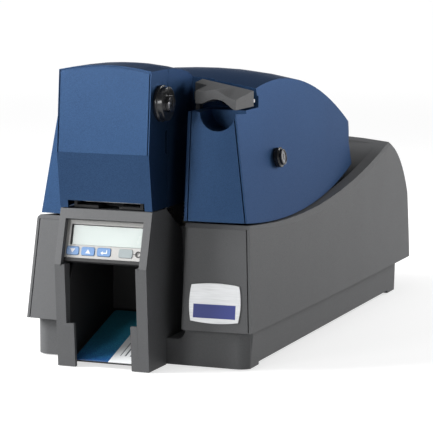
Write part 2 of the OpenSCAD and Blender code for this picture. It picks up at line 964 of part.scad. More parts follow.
module hopper_lock_body() {
  place()
    color("#161718")
      difference() {
        union() {
          rod_x(tower_x1 + eps, tower_x1 + lock_step, lock_y, lock_z, lock_r);
          rod_x(tower_x1 + lock_step - eps, tower_x1 + lock_drum, lock_y, lock_z,
            lock_r - 1.2);
          rod_x(tower_x1 - 5.6, tower_x1 + eps, lock_y, lock_z, lock_barrel_r);
          rod_x(tower_x1 - 4.6, tower_x1 - wall - 0.1, lock_y, lock_z,
            lock_barrel_r + 2);
        }
        rod_x(0, far, lock_y, lock_z, plug_r + run_fit);
      }
}

cam_l = 17;
module hopper_lock_plug() {
  place()
    color("#b9bcc0")
      difference() {
        union() {
          rod_x(tower_x1 - 6, tower_x1 + lock_nose, lock_y, lock_z, plug_r);
          block([tower_x1 - 7.8, lock_y - 4, lock_z - 4],
            [tower_x1 - 5.9, lock_y + cam_l, lock_z + 4]);
        }
        block([tower_x1 + lock_drum - 1, lock_y - 0.8, lock_z - 3.4],
          [tower_x1 + lock_nose + 1, lock_y + 0.8, lock_z + 3.4]);
      }
}

// Card chute inside the tower
liner_in = card_w / 2 + card_play;
liner_out = liner_in + 2.5;
liner_y0 = -17;
liner_y1 = tower_back - wall - 0.2;
liner_z0 = path_z - 2;
liner_top = 226;
module hopper_liner() {
  place()
    color("#2a2c2e")
      difference() {
        intersection() {
          block([tower_x - liner_out, liner_y0, liner_z0],
            [tower_x + liner_out, liner_y1, liner_top]);
          union() {
            tower_form(wall + 0.2);
            block([-far, -far, 0], [far, tower_back - wall - 0.2, tower_z0 + 9]);
          }
        }
        block([tower_x - liner_in, liner_y0 - 1, path_z],
          [tower_x + liner_in, liner_y0 + card_l + 1, far]);
        block([tower_x - 21, pick_y - 8.4, liner_z0 - 1],
          [tower_x + 21, pick_y + 8.4, path_z + 1]);
        block([tower_x - liner_in, liner_y1 - 3, path_z], [tower_x + liner_in,
          liner_y1 + 1, path_z + 1.6]);
        block([tower_x - 9, liner_y0 - 1, path_z - 9], [tower_x + 9, liner_y0 + 14,
          path_z + 1]);
        block([tower_x + liner_in - 1, liner_y0 - 1, lock_z - plug_r - 2],
          [tower_x + liner_out + 1, lock_y - 2, lock_z + plug_r + 2]);
      }
}

// Weight that presses the stack of cards on the pick roller
module card_weight() {
  z0 = path_z + 1.2;
  place()
    color("#8f9498") {
      difference() {
        block([tower_x - card_w / 2, -8, z0], [tower_x + card_w / 2, 52, z0 + 7]);
        block([tower_x - card_w / 2 + 5, -3, z0 + 4], [tower_x + card_w / 2 - 5, 47,
          z0 + 8]);
      }
      block([tower_x - 3, -3.5, z0 + 3.5], [tower_x + 3, 47.5, z0 + 11]);
    }
}

// ---- main cover ----
cover_bottom = bow([cover_y, cover_z], [301, 130], -12.2, 24);
cover_tail = [[309, 131.6], [316, 134.4], [322, 138.6], [326.4, 144.6], [cover_rear, 150.2],
  [cover_rear - 3.3, 168.5]];
cover_arc = arc([cover_crest_y, cover_top - roof_r], roof_r, 59.6, 114.5, 26);
crown_half = 71;
cover_corner = 15;
cover_back_half = 74;
function cover_outline(lift, drop) = concat([[-nose, cover_z - drop]],
  [for (p = cover_bottom) p - [0, drop]], [for (p = cover_tail) p - [0, p[1] < 160 ? drop : 0]],
  [for (p = cover_arc) p + [0, lift]]);

module cover_form(inset, front_inset, drop) {
  roof = concat([for (p = cover_arc) p - [0, inset]], [[-nose, -far], [cover_rear, -far]]);
  intersection() {
    along_x(-far, far)
      offset(delta = -inset)
        polygon(cover_outline(roof_crown, drop));
    leaning_front(cover_y, cover_z, cover_lean, housing_front_w / 2, front_swell,
      front_inset);
    between_sides(cover_w / 2, cover_rear_w / 2, cover_y, cover_rear, cover_z,
      cover_side_lean, cover_swell, inset);
    along_z(0, far)
      polygon(concat([[-far, -far], [far, -far], [far, cover_rear - cover_corner]],
        arc([cover_back_half - cover_corner, cover_rear - cover_corner],
          cover_corner - inset, 0, 90, 8),
        arc([cover_corner - cover_back_half, cover_rear - cover_corner],
          cover_corner - inset, 90, 180, 8), [[-far, cover_rear - cover_corner]]));
    crown(roof, roof_crown, crown_half);
  }
}

// Notch for the tower, notch for the lever and cup for the fingers below the lever
notch_x0 = tower_x0 - 3.7;
notch_x1 = 37.2;
notch_y = 78;
lever_z = 204;
lever_notch_x = 32;
lever_notch_y = 74;
cup_x = 62.3;
cup_r = 15;
cup_y = 44;
module notches(grow) {
  block([notch_x0 - grow, -nose, 0], [notch_x1 + grow, notch_y + grow, far]);
  block([lever_notch_x - grow, -nose, lever_z - grow], [far, lever_notch_y + grow, far]);
  along_y(-nose, cup_y + grow)
    translate([cup_x, lever_z])
      circle(cup_r + grow);
}

// Zone of the separate front panel of the cover, with a narrow lip of the shell beside it
panel_lip = 1.2;
module cover_panel_zone(gap, drop) {
  intersection() {
    difference() {
      block([notch_x1 + wall + gap, -nose, cover_z - 3], [far, far, lever_z]);
      leaning_front(cover_y, cover_z, cover_lean, housing_front_w / 2, front_swell,
        wall - (gap > 0 ? seat_gap : 0));
    }
    between_sides(cover_w / 2, cover_rear_w / 2, cover_y, cover_rear, cover_z,
      cover_side_lean, cover_swell, panel_lip + gap);
  }
}

lock2_y = 101;
lock2_z = 160.4;
lock2_x = 81.75;
lock2_r = 8.4;
lock2_barrel = 7;
lock2_plug = 5;
module on_cover_side() {
  translate([lock2_x, lock2_y, lock2_z])
    rotate([0, 90 - cover_side_lean, 0])
      children();
}

module cover_shell() {
  place()
    color("#1d3557")
      difference() {
        union() {
          difference() {
            cover_form(0, 0, 0);
            cover_form(wall, 2 * wall, far);
          }
          intersection() {
            cover_form(0, wall, 0);
            notches(wall);
          }
          for (x = [lever_notch_x + 14, 72.5])
            block([x, pin_y - 3.4, lever_z - 1], [x + 3.5, lever_notch_y + 1,
              pin_z + 3.4]);
        }
        notches(0);
        cover_panel_zone(0, 0);
        block([tower_x - 36.5, 0, 0], [tower_x + 38, notch_y + 2 * wall, 146]);
        rod_x(0, far, pin_y, pin_z, pin_r);
        block([hook_x0 - 1.2, 0, 170], [hook_x1 + 1.2, notch_y - 1, far]);
        on_cover_side()
          translate([0, 0, -12])
            cylinder(h = 20, r = lock2_barrel + seat_gap);
      }
}

module cover_front_panel() {
  place()
    color("#2c4f7d")
      difference() {
        intersection() {
          cover_form(0, 0, 0);
          cover_panel_zone(0.8, 0);
        }
        notches(0);
      }
}

module cover_lock_body() {
  place()
    color("#161718")
      on_cover_side()
        difference() {
          union() {
            translate([0, 0, 0.5])
              cylinder(h = 4, r = lock2_r);
            translate([0, 0, 4.4])
              cylinder(h = 2.6, r = lock2_r - 1.8);
            translate([0, 0, -10])
              cylinder(h = 11, r = lock2_barrel);
            translate([0, 0, -5.6])
              cylinder(h = 2.4, r = lock2_barrel + 2.6, $fn = 48);
          }
          translate([0, 0, -11])
            cylinder(h = 22, r = lock2_plug + run_fit);
        }
}

module cover_lock_plug() {
  place()
    color("#b9bcc0")
      on_cover_side()
        difference() {
          union() {
            translate([0, 0, -10.5])
              cylinder(h = 17, r = lock2_plug);
            block([-3, -3, -12], [3, 15, -10.2]);
          }
          block([-2.6, -0.6, 4], [2.6, 0.6, 8]);
        }
}

// ---- latch lever ----
pin_y = 64.5;
pin_z = 210;
pin_r = 1.5;
lever_back = 60.5;
lever_x0 = 43;
lever_x1 = 77;
hook_x0 = 28;
hook_x1 = 31.5;
keeper_y = 66.5;
keeper_z = 184;
keeper_r = 2.5;
lever_under = [[lever_x1, 206], [75.5, 206.2], [73.7, 207.2], [71.2, 209.3], [68.5, 211.4],
  [65.4, 213.2], [61.9, 214.1], [58, 214.2], [54.5, 213.4], [51.5, 211.9], [48.5, 210.6],
  [lever_x0, 210.6]];
lever_brow = [[lever_x0, 221], [46, 220.3], [49, 220.1], [53, 220.7], [57, 221.4],
  [60, 221.4], [63, 220.4], [66, 218.6], [69, 216.6], [72, 215.3], [lever_x1, 214.2]];
lever_rise = atan(0.1075);
lever_fall = atan(0.19);
function deck_h(y) = (214.4 + (y - 22.8) * tan(lever_rise) + lever_x1 * tan(lever_fall))
  * cos(lever_fall);

// Space under the lever's upper face, which rises to the back and falls to the right
module lever_deck() {
  rotate([0, lever_fall, 0])
    along_x(-far, far)
      polygon([[-nose, -far], [lever_back, -far], [lever_back, deck_h(lever_back)],
        [-nose, deck_h(-nose)]]);
}

// Grip with its arched under side and the brow over the arch
module lever_front() {
  intersection() {
    leaning_front(cover_y, cover_z, cover_lean, housing_front_w / 2, front_swell, 0);
    along_y(-nose, lever_back)
      polygon(concat(lever_under, [[lever_x0, far], [lever_x1, far]]));
    union() {
      lever_deck();
      along_y(-nose, lever_back)
        polygon(concat([[lever_x1, 0], [lever_x0, 0]], lever_brow));
    }
  }
}

module latch_lever() {
  place()
    color("#63666a")
      difference() {
        union() {
          lever_front();
          intersection() {
            block([lever_notch_x + 0.6, 45, 213], [lever_x0 + 1, lever_back, far]);
            lever_deck();
          }
          lever_arms();
          along_x(hook_x0, lever_notch_x + 2)
            polygon([[54, 211], [54, 217], [lever_back, 217], [69, 212], [69, 208],
              [60, 206]]);
          along_x(hook_x0, hook_x1)
            polygon([[59, 212], [56, 200], [56, 178], [69, 178.5], [71, 180.5],
              [69, keeper_z - keeper_r - 0.2], [61.5, keeper_z - keeper_r - 0.2],
              [61.5, 200], [67, 209]]);
        }
        rod_x(0, far, pin_y, pin_z, pin_r + run_fit);
      }
}

// Eyes of the lever on the pivot pin
module lever_arms() {
  for (x = [50, 68])
    difference() {
      along_x(x, x + 4)
        polygon([[56, 211.5], [56, 217], [lever_back, 217], [67, 213.6], [68.4, 210],
          [67, 206.6], [62, 206.6]]);
      rod_x(0, far, pin_y, pin_z, pin_r + run_fit);
    }
}

module latch_pin() {
  place()
    color("#a8a8a8")
      rod_x(hook_x0 - 1, 76, pin_y, pin_z, pin_r);
}

module latch_keeper() {
  place()
    color("#a8a8a8") {
      rod_x(tower_x1 + eps, 34, keeper_y, keeper_z, keeper_r);
      rod_x(tower_x1 + eps, tower_x1 + 1.5, keeper_y, keeper_z, keeper_r + 2.2);
    }
}

// ---- hinge of the main cover ----
axis_y = 300;
axis_z = 124;
axis_r = 3;
arm_x0 = 62;
arm_t = 4;
bracket_x0 = 68;
bracket_t = 3;
module both_sides() {
  children();
  mirror([1, 0, 0])
    children();
}

module cover_hinge_arms() {
  place()
    color("#8b8f93")
      intersection() {
        cover_form(wall + eps, 3 * wall, far);
        both_sides()
          difference() {
            union() {
              along_x(arm_x0, arm_x0 + arm_t)
                polygon([[292, 127], [270, 150], [258, 230], [310, 230],
                  [306, 160], [308, 127]]);
              rod_x(arm_x0, arm_x0 + arm_t, axis_y, axis_z, 8);
            }
            rod_x(0, far, axis_y, axis_z, axis_r + run_fit);
          }
      }
}

module cover_hinge_pins() {
  place()
    color("#a8a8a8")
      both_sides() {
        rod_x(arm_x0 - 1, bracket_x0 + bracket_t + 1, axis_y, axis_z, axis_r);
        rod_x(arm_x0 - 2, arm_x0 - 0.3, axis_y, axis_z, axis_r + 1.6);
      }
}

module hinge_brackets() {
  place()
    color("#8b8f93")
      both_sides()
        difference() {
          union() {
            along_x(bracket_x0, bracket_x0 + bracket_t)
              polygon([[284, chassis_z], [290, 122], [294, 131], [306, 131],
                [310, 122], [316, chassis_z]]);
            block([bracket_x0, 284, chassis_z], [bracket_x0 + 14, 316,
              chassis_z + 2]);
          }
          rod_x(0, far, axis_y, axis_z, axis_r);
        }
}

// ---- gears ----
gear_x0 = 15.5;
gear_x1 = gear_x0 + gear_w;
pressure = 20;
function inv(a) = tan(a) * 180 / PI - a;
function tooth_half(n, r) = let (rb = gear_m * n / 2 * cos(pressure))
  89 / n + inv(pressure) - (r > rb ? inv(acos(rb / r)) : 0);

// Outline of an involute gear with n teeth, one of them centred on the angle a
function gear_points(n, a) = let (
    rp = gear_m * n / 2, r_tip = rp + 0.94 * gear_m, r_root = rp - 1.2 * gear_m,
    r_low = max(rp * cos(pressure), r_root) + eps,
    rs = [r_root, r_low, (r_low + rp) / 2 + 0.1, rp + 0.3 * gear_m, r_tip])
  [for (i = [0 : n - 1]) for (k = [0 : 9])
    let (r = rs[k < 5 ? k : 9 - k], h = tooth_half(n, max(r, r_low)))
    let (t = a + 360 * i / n + (k < 5 ? -h : h)) [r * cos(t), r * sin(t)]];

// Angle of a tooth of a gear with nb teeth that meshes in direction phi with a gear with
// na teeth, one of them at the angle a
function mesh(na, a, nb, phi) = phi + 180 - 360 / nb * (0.5 - (phi - a) * na / 360);

platen_n = 40;
idler_n = 36;
path_n = 24;
pinion_n = 12;
takeup_n = 60;
idler_gap = gear_m * (platen_n + idler_n) / 2;
path_gap = gear_m * (path_n + idler_n) / 2;
front_idler_y = platen_y - idler_gap;
front_roller_y = front_idler_y - path_gap;
hopper_idler_y = front_roller_y - path_gap;
pick_y = hopper_idler_y - path_gap;
rear_idler_y = platen_y + idler_gap;
rear_roller_y = rear_idler_y + path_gap;
pinion_z = roller_z - gear_m * (platen_n + pinion_n) / 2;
takeup_y = rear_idler_y + 16;
takeup_z = roller_z + sqrt(pow(gear_m * (idler_n + takeup_n) / 2, 2) - 16 * 16);
takeup_dir = atan2(takeup_z - roller_z, takeup_y - rear_idler_y);
front_idler_a = mesh(platen_n, 0, idler_n, 180);
front_roller_a = mesh(idler_n, front_idler_a, path_n, 180);
hopper_idler_a = mesh(path_n, front_roller_a, idler_n, 180);
pick_a = mesh(idler_n, hopper_idler_a, path_n, 180);
rear_idler_a = mesh(platen_n, 0, idler_n, 0);
rear_roller_a = mesh(idler_n, rear_idler_a, path_n, 0);
pinion_a = mesh(platen_n, 0, pinion_n, -90);
takeup_a = mesh(idler_n, rear_idler_a, takeup_n, takeup_dir);

module gear(n, a, y, z) {
  translate([0, y, z])
    along_x(gear_x0, gear_x1)
      polygon(gear_points(n, a));
}

frame_l_x = tower_x - 31;
frame_r_x = tower_x + 29;
frame_t = 2;
roller_x0 = frame_l_x + frame_t + 0.6;
roller_x1 = frame_r_x - 0.6;

// Roller on its shaft, with its gear outside the right side frame
module driven_roller(y, r, x0, x1, n, a) {
  rod_x(frame_l_x - 2, gear_x1 + 0.4, y, roller_z, journal_r);
  rod_x(x0, x1, y, roller_z, r);
  gear(n, a, y, roller_z);
}

module platen_roller() {
  place()
    color("#202122")
      driven_roller(platen_y, roller_r, roller_x0, roller_x1, platen_n, 0);
}

module pick_roller() {
  place()
    color("#303134")
      driven_roller(pick_y, roller_r, tower_x - 18, tower_x + 18, path_n, pick_a);
}

module front_transport_roller() {
  place()
    color("#303134")
      driven_roller(front_roller_y, roller_r, roller_x0 + 3, roller_x1 - 3, path_n,
        front_roller_a);
}

module rear_transport_roller() {
  place()
    color("#303134")
      driven_roller(rear_roller_y, roller_r, roller_x0 + 3, roller_x1 - 3, path_n,
        rear_roller_a);
}

upper_gap = 0.8;
cleaner_r = 8;
pinch_r = 7;
module free_roller(y, r) {
  z = roller_z + roller_r + upper_gap + r;
  rod_x(frame_l_x - 1, frame_r_x + frame_t + 0.6, y, z, journal_r - 0.6);
  rod_x(roller_x0 + 3, roller_x1 - 3, y, z, r);
}

module cleaning_roller() {
  place()
    color("#4f6f9f")
      free_roller(front_roller_y, cleaner_r);
}

module pinch_roller() {
  place()
    color("#303134")
      free_roller(rear_roller_y, pinch_r);
}

stud_r = 3;
module idler(y, a) {
  difference() {
    gear(idler_n, a, y, roller_z);
    rod_x(0, far, y, roller_z, stud_r + run_fit);
    for (t = [0 : 72 : 359])
      translate([0, y, roller_z])
        rotate([t, 0, 0])
          translate([0, 10.5, 0])
            rod_x(0, far, 0, 0, 2.8);
  }
}

module hopper_idler_gear() {
  place()
    color("ivory")
      idler(hopper_idler_y, hopper_idler_a);
}

module front_idler_gear() {
  place()
    color("ivory")
      idler(front_idler_y, front_idler_a);
}

module rear_idler_gear() {
  place()
    color("ivory")
      idler(rear_idler_y, rear_idler_a);
}

module idler_studs() {
  place()
    color("#a8a8a8")
      for (y = [hopper_idler_y, front_idler_y, rear_idler_y])
        rod_x(frame_r_x + frame_t, gear_x1 + 0.3, y, roller_z, stud_r);
}

// ---- ribbon spools ----
supply_y = 118;
supply_z = 178;
spool_core = 8;
spool_wound = 17;
spool_flange = 20;
module spool(y, z, r) {
  rod_x(frame_l_x - 2, gear_x1 + 0.4, y, z, journal_r);
  rod_x(roller_x0 + 2, roller_x1 - 2, y, z, spool_core);
  rod_x(roller_x0 + 5, roller_x1 - 5, y, z, r);
  for (x = [roller_x0 + 2, roller_x1 - 3.6])
    rod_x(x, x + 1.6, y, z, spool_flange);
}

module ribbon_supply_spool() {
  place()
    color("#7a2f52")
      spool(supply_y, supply_z, spool_wound);
}

module ribbon_takeup_spool() {
  place()
    color("#7a2f52") {
      spool(takeup_y, takeup_z, spool_core + 3);
      gear(takeup_n, takeup_a, takeup_y, takeup_z);
    }
}

// ---- side frames and card track ----
frame_low_y = 28;
frame_step_y = tower_back + 5;
frame_end_y = 270;
frame_line = [[frame_low_y, 84], [frame_low_y, path_z - 3], [frame_step_y, path_z - 3],
  [frame_step_y, 139], [98, 160], [104, supply_z + 5], [132, supply_z + 5], [140, 150],
  [190, 150], [208, takeup_z + 5], [236, takeup_z + 5], [246, 146], [frame_end_y, 140],
  [frame_end_y, chassis_z], [frame_step_y, chassis_z], [frame_step_y, 84]];
module side_frame(x, foot_dir) {
  difference() {
    union() {
      along_x(x, x + frame_t)
        polygon(frame_line);
      block([foot_dir > 0 ? x : x + frame_t - 9, frame_step_y + 6, chassis_z],
        [foot_dir > 0 ? x + 9 : x + frame_t, frame_end_y - 4, chassis_z + 2]);
    }
    for (y = [pick_y, front_roller_y, platen_y, rear_roller_y])
      rod_x(-far, far, y, roller_z, journal_r + run_fit);
    rod_x(-far, far, front_roller_y, roller_z + roller_r + upper_gap + cleaner_r,
      journal_r - 0.6 + run_fit);
    rod_x(-far, far, rear_roller_y, roller_z + roller_r + upper_gap + pinch_r,
      journal_r - 0.6 + run_fit);
    for (p = [[supply_y, supply_z], [takeup_y, takeup_z]]) {
      rod_x(-far, far, p[0], p[1], journal_r + run_fit);
      block([-far, p[0] - journal_r - run_fit, p[1]], [far, p[0] + journal_r + run_fit,
        p[1] + 10]);
    }
    along_x(-far, far)
      polygon([[110, 24], [110, 76], [150, 76], [150, 24]]);
    along_x(-far, far)
      polygon([[190, 24], [190, 88], [250, 88], [250, 24]]);
  }
}

module side_frame_left() {
  place()
    color("#8b8f93")
      side_frame(frame_l_x, 1);
}

module side_frame_right() {
  place()
    color("#8b8f93")
      difference() {
        side_frame(frame_r_x, -1);
      }
}

track_y0 = 82;
track_y1 = 262;
track_t = 2.4;
module card_track() {
  place()
    color("#2a2c2e")
      difference() {
        union() {
          block([frame_l_x + frame_t, track_y0, path_z - track_t - 0.2],
            [frame_r_x, track_y1, path_z - 0.2]);
          for (x = [tower_x - liner_in - 1.4, tower_x + liner_in])
            block([x, track_y0, path_z - 0.4], [x + 1.4, track_y1, path_z + 2]);
        }
        for (y = [front_roller_y, platen_y, rear_roller_y])
          block([roller_x0 - 0.4, y - roller_r - 0.6, 0], [roller_x1 + 0.4,
            y + roller_r + 0.6, far]);
        block([tower_x - liner_in - 2, rear_idler_y - 8.4, path_z - 9],
          [tower_x - liner_in + 20, rear_idler_y + 4.4, path_z - 0.2 + eps]);
      }
}

module magnetic_head() {
  place()
    color("#a8a8a8") {
      block([tower_x - liner_in + 2, rear_idler_y - 8, path_z - 12],
        [tower_x - liner_in + 18, rear_idler_y + 4, path_z - 0.3]);
      block([frame_l_x + frame_t, rear_idler_y - 5, path_z - 11],
        [tower_x - liner_in + 3, rear_idler_y + 1, path_z - 9]);
    }
}

// ---- drive motor ----
motor_x0 = 31;
motor_side = 42;
bracket2_t = 2;
module drive_motor() {
  place()
    color("#2b2b2d")
      difference() {
        union() {
          block([motor_x0, platen_y - motor_side / 2, pinion_z - motor_side / 2],
            [motor_x0 + 38, platen_y + motor_side / 2, pinion_z + motor_side / 2]);
          rod_x(gear_x1, motor_x0 + 1, platen_y, pinion_z, 2.5);
        }
        for (sy = [-1, 1])
          for (sz = [-1, 1])
            translate([motor_x0 - 1, platen_y + sy * 21.5, pinion_z + sz * 21.5])
              rotate([45, 0, 0])
                cube([50, 5, 5], center = false);
      }
}

module motor_pinion() {
  place()
    color("goldenrod")
      difference() {
        union() {
          gear(pinion_n, pinion_a, platen_y, pinion_z);
          rod_x(gear_x1 - eps, gear_x1 + 5, platen_y, pinion_z, 4.4);
        }
        rod_x(gear_x1, far, platen_y, pinion_z, 2.5);
      }
}

module motor_bracket() {
  place()
    color("#8b8f93")
      difference() {
        union() {
          block([motor_x0 - bracket2_t, platen_y - 26, chassis_z],
            [motor_x0, platen_y + 26, pinion_z + 23]);
          block([motor_x0 - 11, platen_y - 26, chassis_z], [motor_x0,
            platen_y + 26, chassis_z + 2]);
        }
        rod_x(0, far, platen_y, pinion_z, 6);
      }
}

// ---- print head on the cover ----
head_y0 = 157;
head_y1 = 179;
head_z = 131.8;
module print_head() {
  place()
    color("#b9bcc0") {
      block([tower_x - 27.5, head_y0 + 2, head_z + 1.4], [tower_x + 27.5, head_y1 - 2,
        head_z + 9]);
      rod_x(tower_x - 27.5, tower_x + 27.5, platen_y, head_z + 1.6, 1.6);
    }
}

module print_head_bracket() {
  place()
    color("#8b8f93")
      intersection() {
        cover_form(wall + eps, 3 * wall, far);
        union() {
          block([tower_x - 27.5, head_y0, head_z + 9], [tower_x + 27.5, head_y1,
            head_z + 12]);
          for (x = [tower_x - 24, tower_x + 21])
            block([x, head_y0 + 1, head_z + 11], [x + 3, head_y1 - 1, far]);
          block([tower_x - 24, head_y0 + 9, head_z + 11], [tower_x + 24,
            head_y0 + 12, far]);
        }
      }
}

// ---- electronics ----
board_z = 12;
board_t = 1.6;
board_x1 = base_w / 2 - 6.5;
module main_board() {
  place()
    color("#1f6b3a") {
      block([36, 90, board_z], [board_x1, 260, board_z + board_t]);
      block([44, 110, board_z + board_t - eps], [64, 130, board_z + board_t + 3]);
      block([42, 150, board_z + board_t - eps], [56, 170, board_z + board_t + 2]);
      block([board_x1 - 28, 236, board_z + board_t - eps], [board_x1 - 4, 248,
        board_z + board_t + 9]);
      for (y = [190 : 12 : 226])
        translate([board_x1 - 12, y, board_z + board_t - eps])
          cylinder(h = 12, r = 4);
    }
}

supply_y1 = housing_l - 32.8;
supply_y0 = supply_y1 - 80;
module power_supply() {
  place()
    color("#9a9c9e")
      difference() {
        block([20, supply_y0, chassis_z], [64, supply_y1, 56]);
        for (y = [supply_y0 + 10 : 7 : supply_y1 - 10])
          block([26, y, 54], [58, y + 3, 60]);
      }
}

inlet_x = 50;
inlet_z = 57;
inlet_w = 54;
inlet_h = 27;
rear_face = housing_l - 0.8;
inlet_y0 = rear_face - 16;
switch_x = inlet_x + 17.5;
switch_w = 12.6;
switch_h = 19;
switch_axis_y = rear_face - 4.5;
port_x0 = -72;
port_x1 = -32;
port_z0 = 50;
port_z1 = 66;
module rear_cutouts(grow) {
  block([inlet_x - inlet_w / 2 - grow, inlet_y0 - 1, inlet_z - inlet_h / 2 - grow],
    [inlet_x + inlet_w / 2 + grow, far, inlet_z + inlet_h / 2 + grow]);
  block([port_x0 - grow, inlet_y0 - 1, port_z0 - grow], [port_x1 + grow, far,
    port_z1 + grow]);
}

module switch_room() {
  block([switch_x - switch_w / 2, switch_axis_y - 7, inlet_z - switch_h / 2],
    [switch_x + switch_w / 2, far, inlet_z + switch_h / 2]);
}

module power_inlet() {
  socket_x = inlet_x - 9;
  place()
    color("#1a1b1c") {
      difference() {
        union() {
          block([inlet_x - inlet_w / 2, inlet_y0, inlet_z - inlet_h / 2],
            [inlet_x + inlet_w / 2, rear_face, inlet_z + inlet_h / 2]);
          block([inlet_x - inlet_w / 2 - 3, rear_face - 7, inlet_z - inlet_h / 2 - 3],
            [inlet_x + inlet_w / 2 + 3, rear_face - 4.6, inlet_z + inlet_h / 2 + 3]);
        }
        switch_room();
        rod_x(switch_x - switch_w / 2 - 1.5, switch_x + switch_w / 2 + 1.5,
          switch_axis_y, inlet_z, 1.2 + run_fit);
        translate([socket_x, rear_face - 14, inlet_z])
          rotate([-90, 0, 0])
            linear_extrude(20)
              polygon([[-12, -8], [12, -8], [12, 4], [8, 8], [-8, 8], [-12, 4]]);
      }
      for (x = [-7, 0, 7])
        block([socket_x + x - 1, rear_face - 14.5, inlet_z - 2 + (x == 0 ? 3 : -1)],
          [socket_x + x + 1, rear_face - 3, inlet_z + 2 + (x == 0 ? 3 : -1)]);
    }
}

switch_tilt = 10;
module power_switch() {
  half = switch_h / 2 - 1.2;
  place()
    color("#101112")
      translate([0, switch_axis_y, inlet_z]) {
        along_x(switch_x - switch_w / 2 + 0.4, switch_x + switch_w / 2 - 0.4)
          polygon([[-3.4, -3], [-3.4, 3], [1.4, half], [4.2, half], [2.6, 0],
            [0.4, -half], [-2.6, -half]]);
        rod_x(switch_x - switch_w / 2 - 1.3, switch_x + switch_w / 2 + 1.3, 0, 0, 1.2);
      }
}

module interface_ports() {
  place()
    color("#6d7074")
      difference() {
        union() {
          block([port_x0, inlet_y0, port_z0], [port_x1, rear_face - 0.6, port_z1]);
          block([port_x0 - 4, inlet_y0 - 12, port_z0 - 4], [port_x1 + 4,
            inlet_y0 - 10, port_z1 + 10]);
          block([port_x0, inlet_y0 - 11, port_z0], [port_x1, inlet_y0 + 1, port_z1]);
          block([port_x0 + 4, inlet_y0 - 12, chassis_z], [port_x0 + 8,
            inlet_y0 - 10, port_z1]);
        }
        block([port_x0 + 2, rear_face - 12, port_z0 + 2], [port_x0 + 18,
          rear_face + 1, port_z1 - 2]);
        block([port_x1 - 15, rear_face - 12, port_z0 + 2.5], [port_x1 - 3,
          rear_face + 1, port_z1 - 3]);
      }
}

// ---- pieces ----
base_tray();
rubber_feet();
lower_housing();
front_fascia();
badge_plate();
tower_bezel();
output_tray();
printed_card();
display_housing();
display_panel();
lcd_screen();
display_board();
key_down();
key_up();
key_enter();
key_cancel();
hopper_shell();
hopper_liner();
card_weight();
hopper_door();
hopper_hinge_pin();
hopper_lock_body();
hopper_lock_plug();
cover_shell();
cover_front_panel();
cover_lock_body();
cover_lock_plug();
cover_hinge_arms();
cover_hinge_pins();
hinge_brackets();
latch_lever();
latch_pin();
latch_keeper();
side_frame_left();
side_frame_right();
card_track();
platen_roller();
pick_roller();
front_transport_roller();
rear_transport_roller();
cleaning_roller();
pinch_roller();
hopper_idler_gear();
front_idler_gear();
rear_idler_gear();
idler_studs();
drive_motor();
motor_pinion();
motor_bracket();
ribbon_supply_spool();
ribbon_takeup_spool();
print_head();
print_head_bracket();
magnetic_head();
main_board();
power_supply();
power_inlet();
power_switch();
interface_ports();
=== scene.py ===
"""Looks of a desktop card printer: finishes, softened mouldings, small fittings, light, camera.

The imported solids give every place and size. The scene dresses them, lays a softened copy over
each moulding that shows, and adds the fittings that are too fine for the solids.
"""

import json
import logging
import math
from dataclasses import dataclass, field
from enum import Enum
from typing import Iterable, Sequence

import bmesh
import bpy
import numpy as np
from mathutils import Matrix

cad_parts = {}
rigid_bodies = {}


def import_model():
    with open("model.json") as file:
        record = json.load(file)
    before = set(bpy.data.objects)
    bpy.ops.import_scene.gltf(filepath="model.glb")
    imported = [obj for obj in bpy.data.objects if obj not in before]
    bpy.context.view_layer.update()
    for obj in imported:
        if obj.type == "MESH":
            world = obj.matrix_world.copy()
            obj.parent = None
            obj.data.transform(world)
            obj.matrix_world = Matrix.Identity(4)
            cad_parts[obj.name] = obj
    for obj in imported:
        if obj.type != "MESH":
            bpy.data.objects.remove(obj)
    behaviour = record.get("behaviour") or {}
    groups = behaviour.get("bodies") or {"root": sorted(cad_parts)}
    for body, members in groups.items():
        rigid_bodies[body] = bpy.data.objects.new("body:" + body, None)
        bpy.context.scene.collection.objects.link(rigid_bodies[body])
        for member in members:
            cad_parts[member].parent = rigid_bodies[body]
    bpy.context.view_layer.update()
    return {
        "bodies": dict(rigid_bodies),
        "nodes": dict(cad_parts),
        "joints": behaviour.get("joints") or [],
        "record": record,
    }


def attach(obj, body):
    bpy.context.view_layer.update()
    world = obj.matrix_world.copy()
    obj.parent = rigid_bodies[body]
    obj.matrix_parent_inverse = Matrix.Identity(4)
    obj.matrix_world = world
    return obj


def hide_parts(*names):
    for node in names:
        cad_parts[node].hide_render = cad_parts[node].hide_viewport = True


LOG = logging.getLogger("card_printer")
RGB = tuple[float, float, float]
MM = 0.001
Y_SHIFT = -200.2


class Slot(str, Enum):
    """Material slots of the record, listed with each part."""

    BLACK = "black_plastic"
    GREY = "grey_plastic"
    BLUE = "blue_paint"
    PLATE = "silver_plate"
    PANEL = "silver_panel"
    SCREEN = "screen"
    BLUE_KEY = "blue_key"
    GREY_KEY = "grey_key"
    CARD = "white_card"
    RUBBER = "rubber"
    STEEL = "steel"
    CHROME = "chrome"
    ZINC = "zinc_sheet"
    GEAR = "gear_plastic"
    BOARD = "circuit_board"
    RIBBON = "ribbon_film"
    CLEANER = "cleaning_rubber"
    BRASS = "brass"


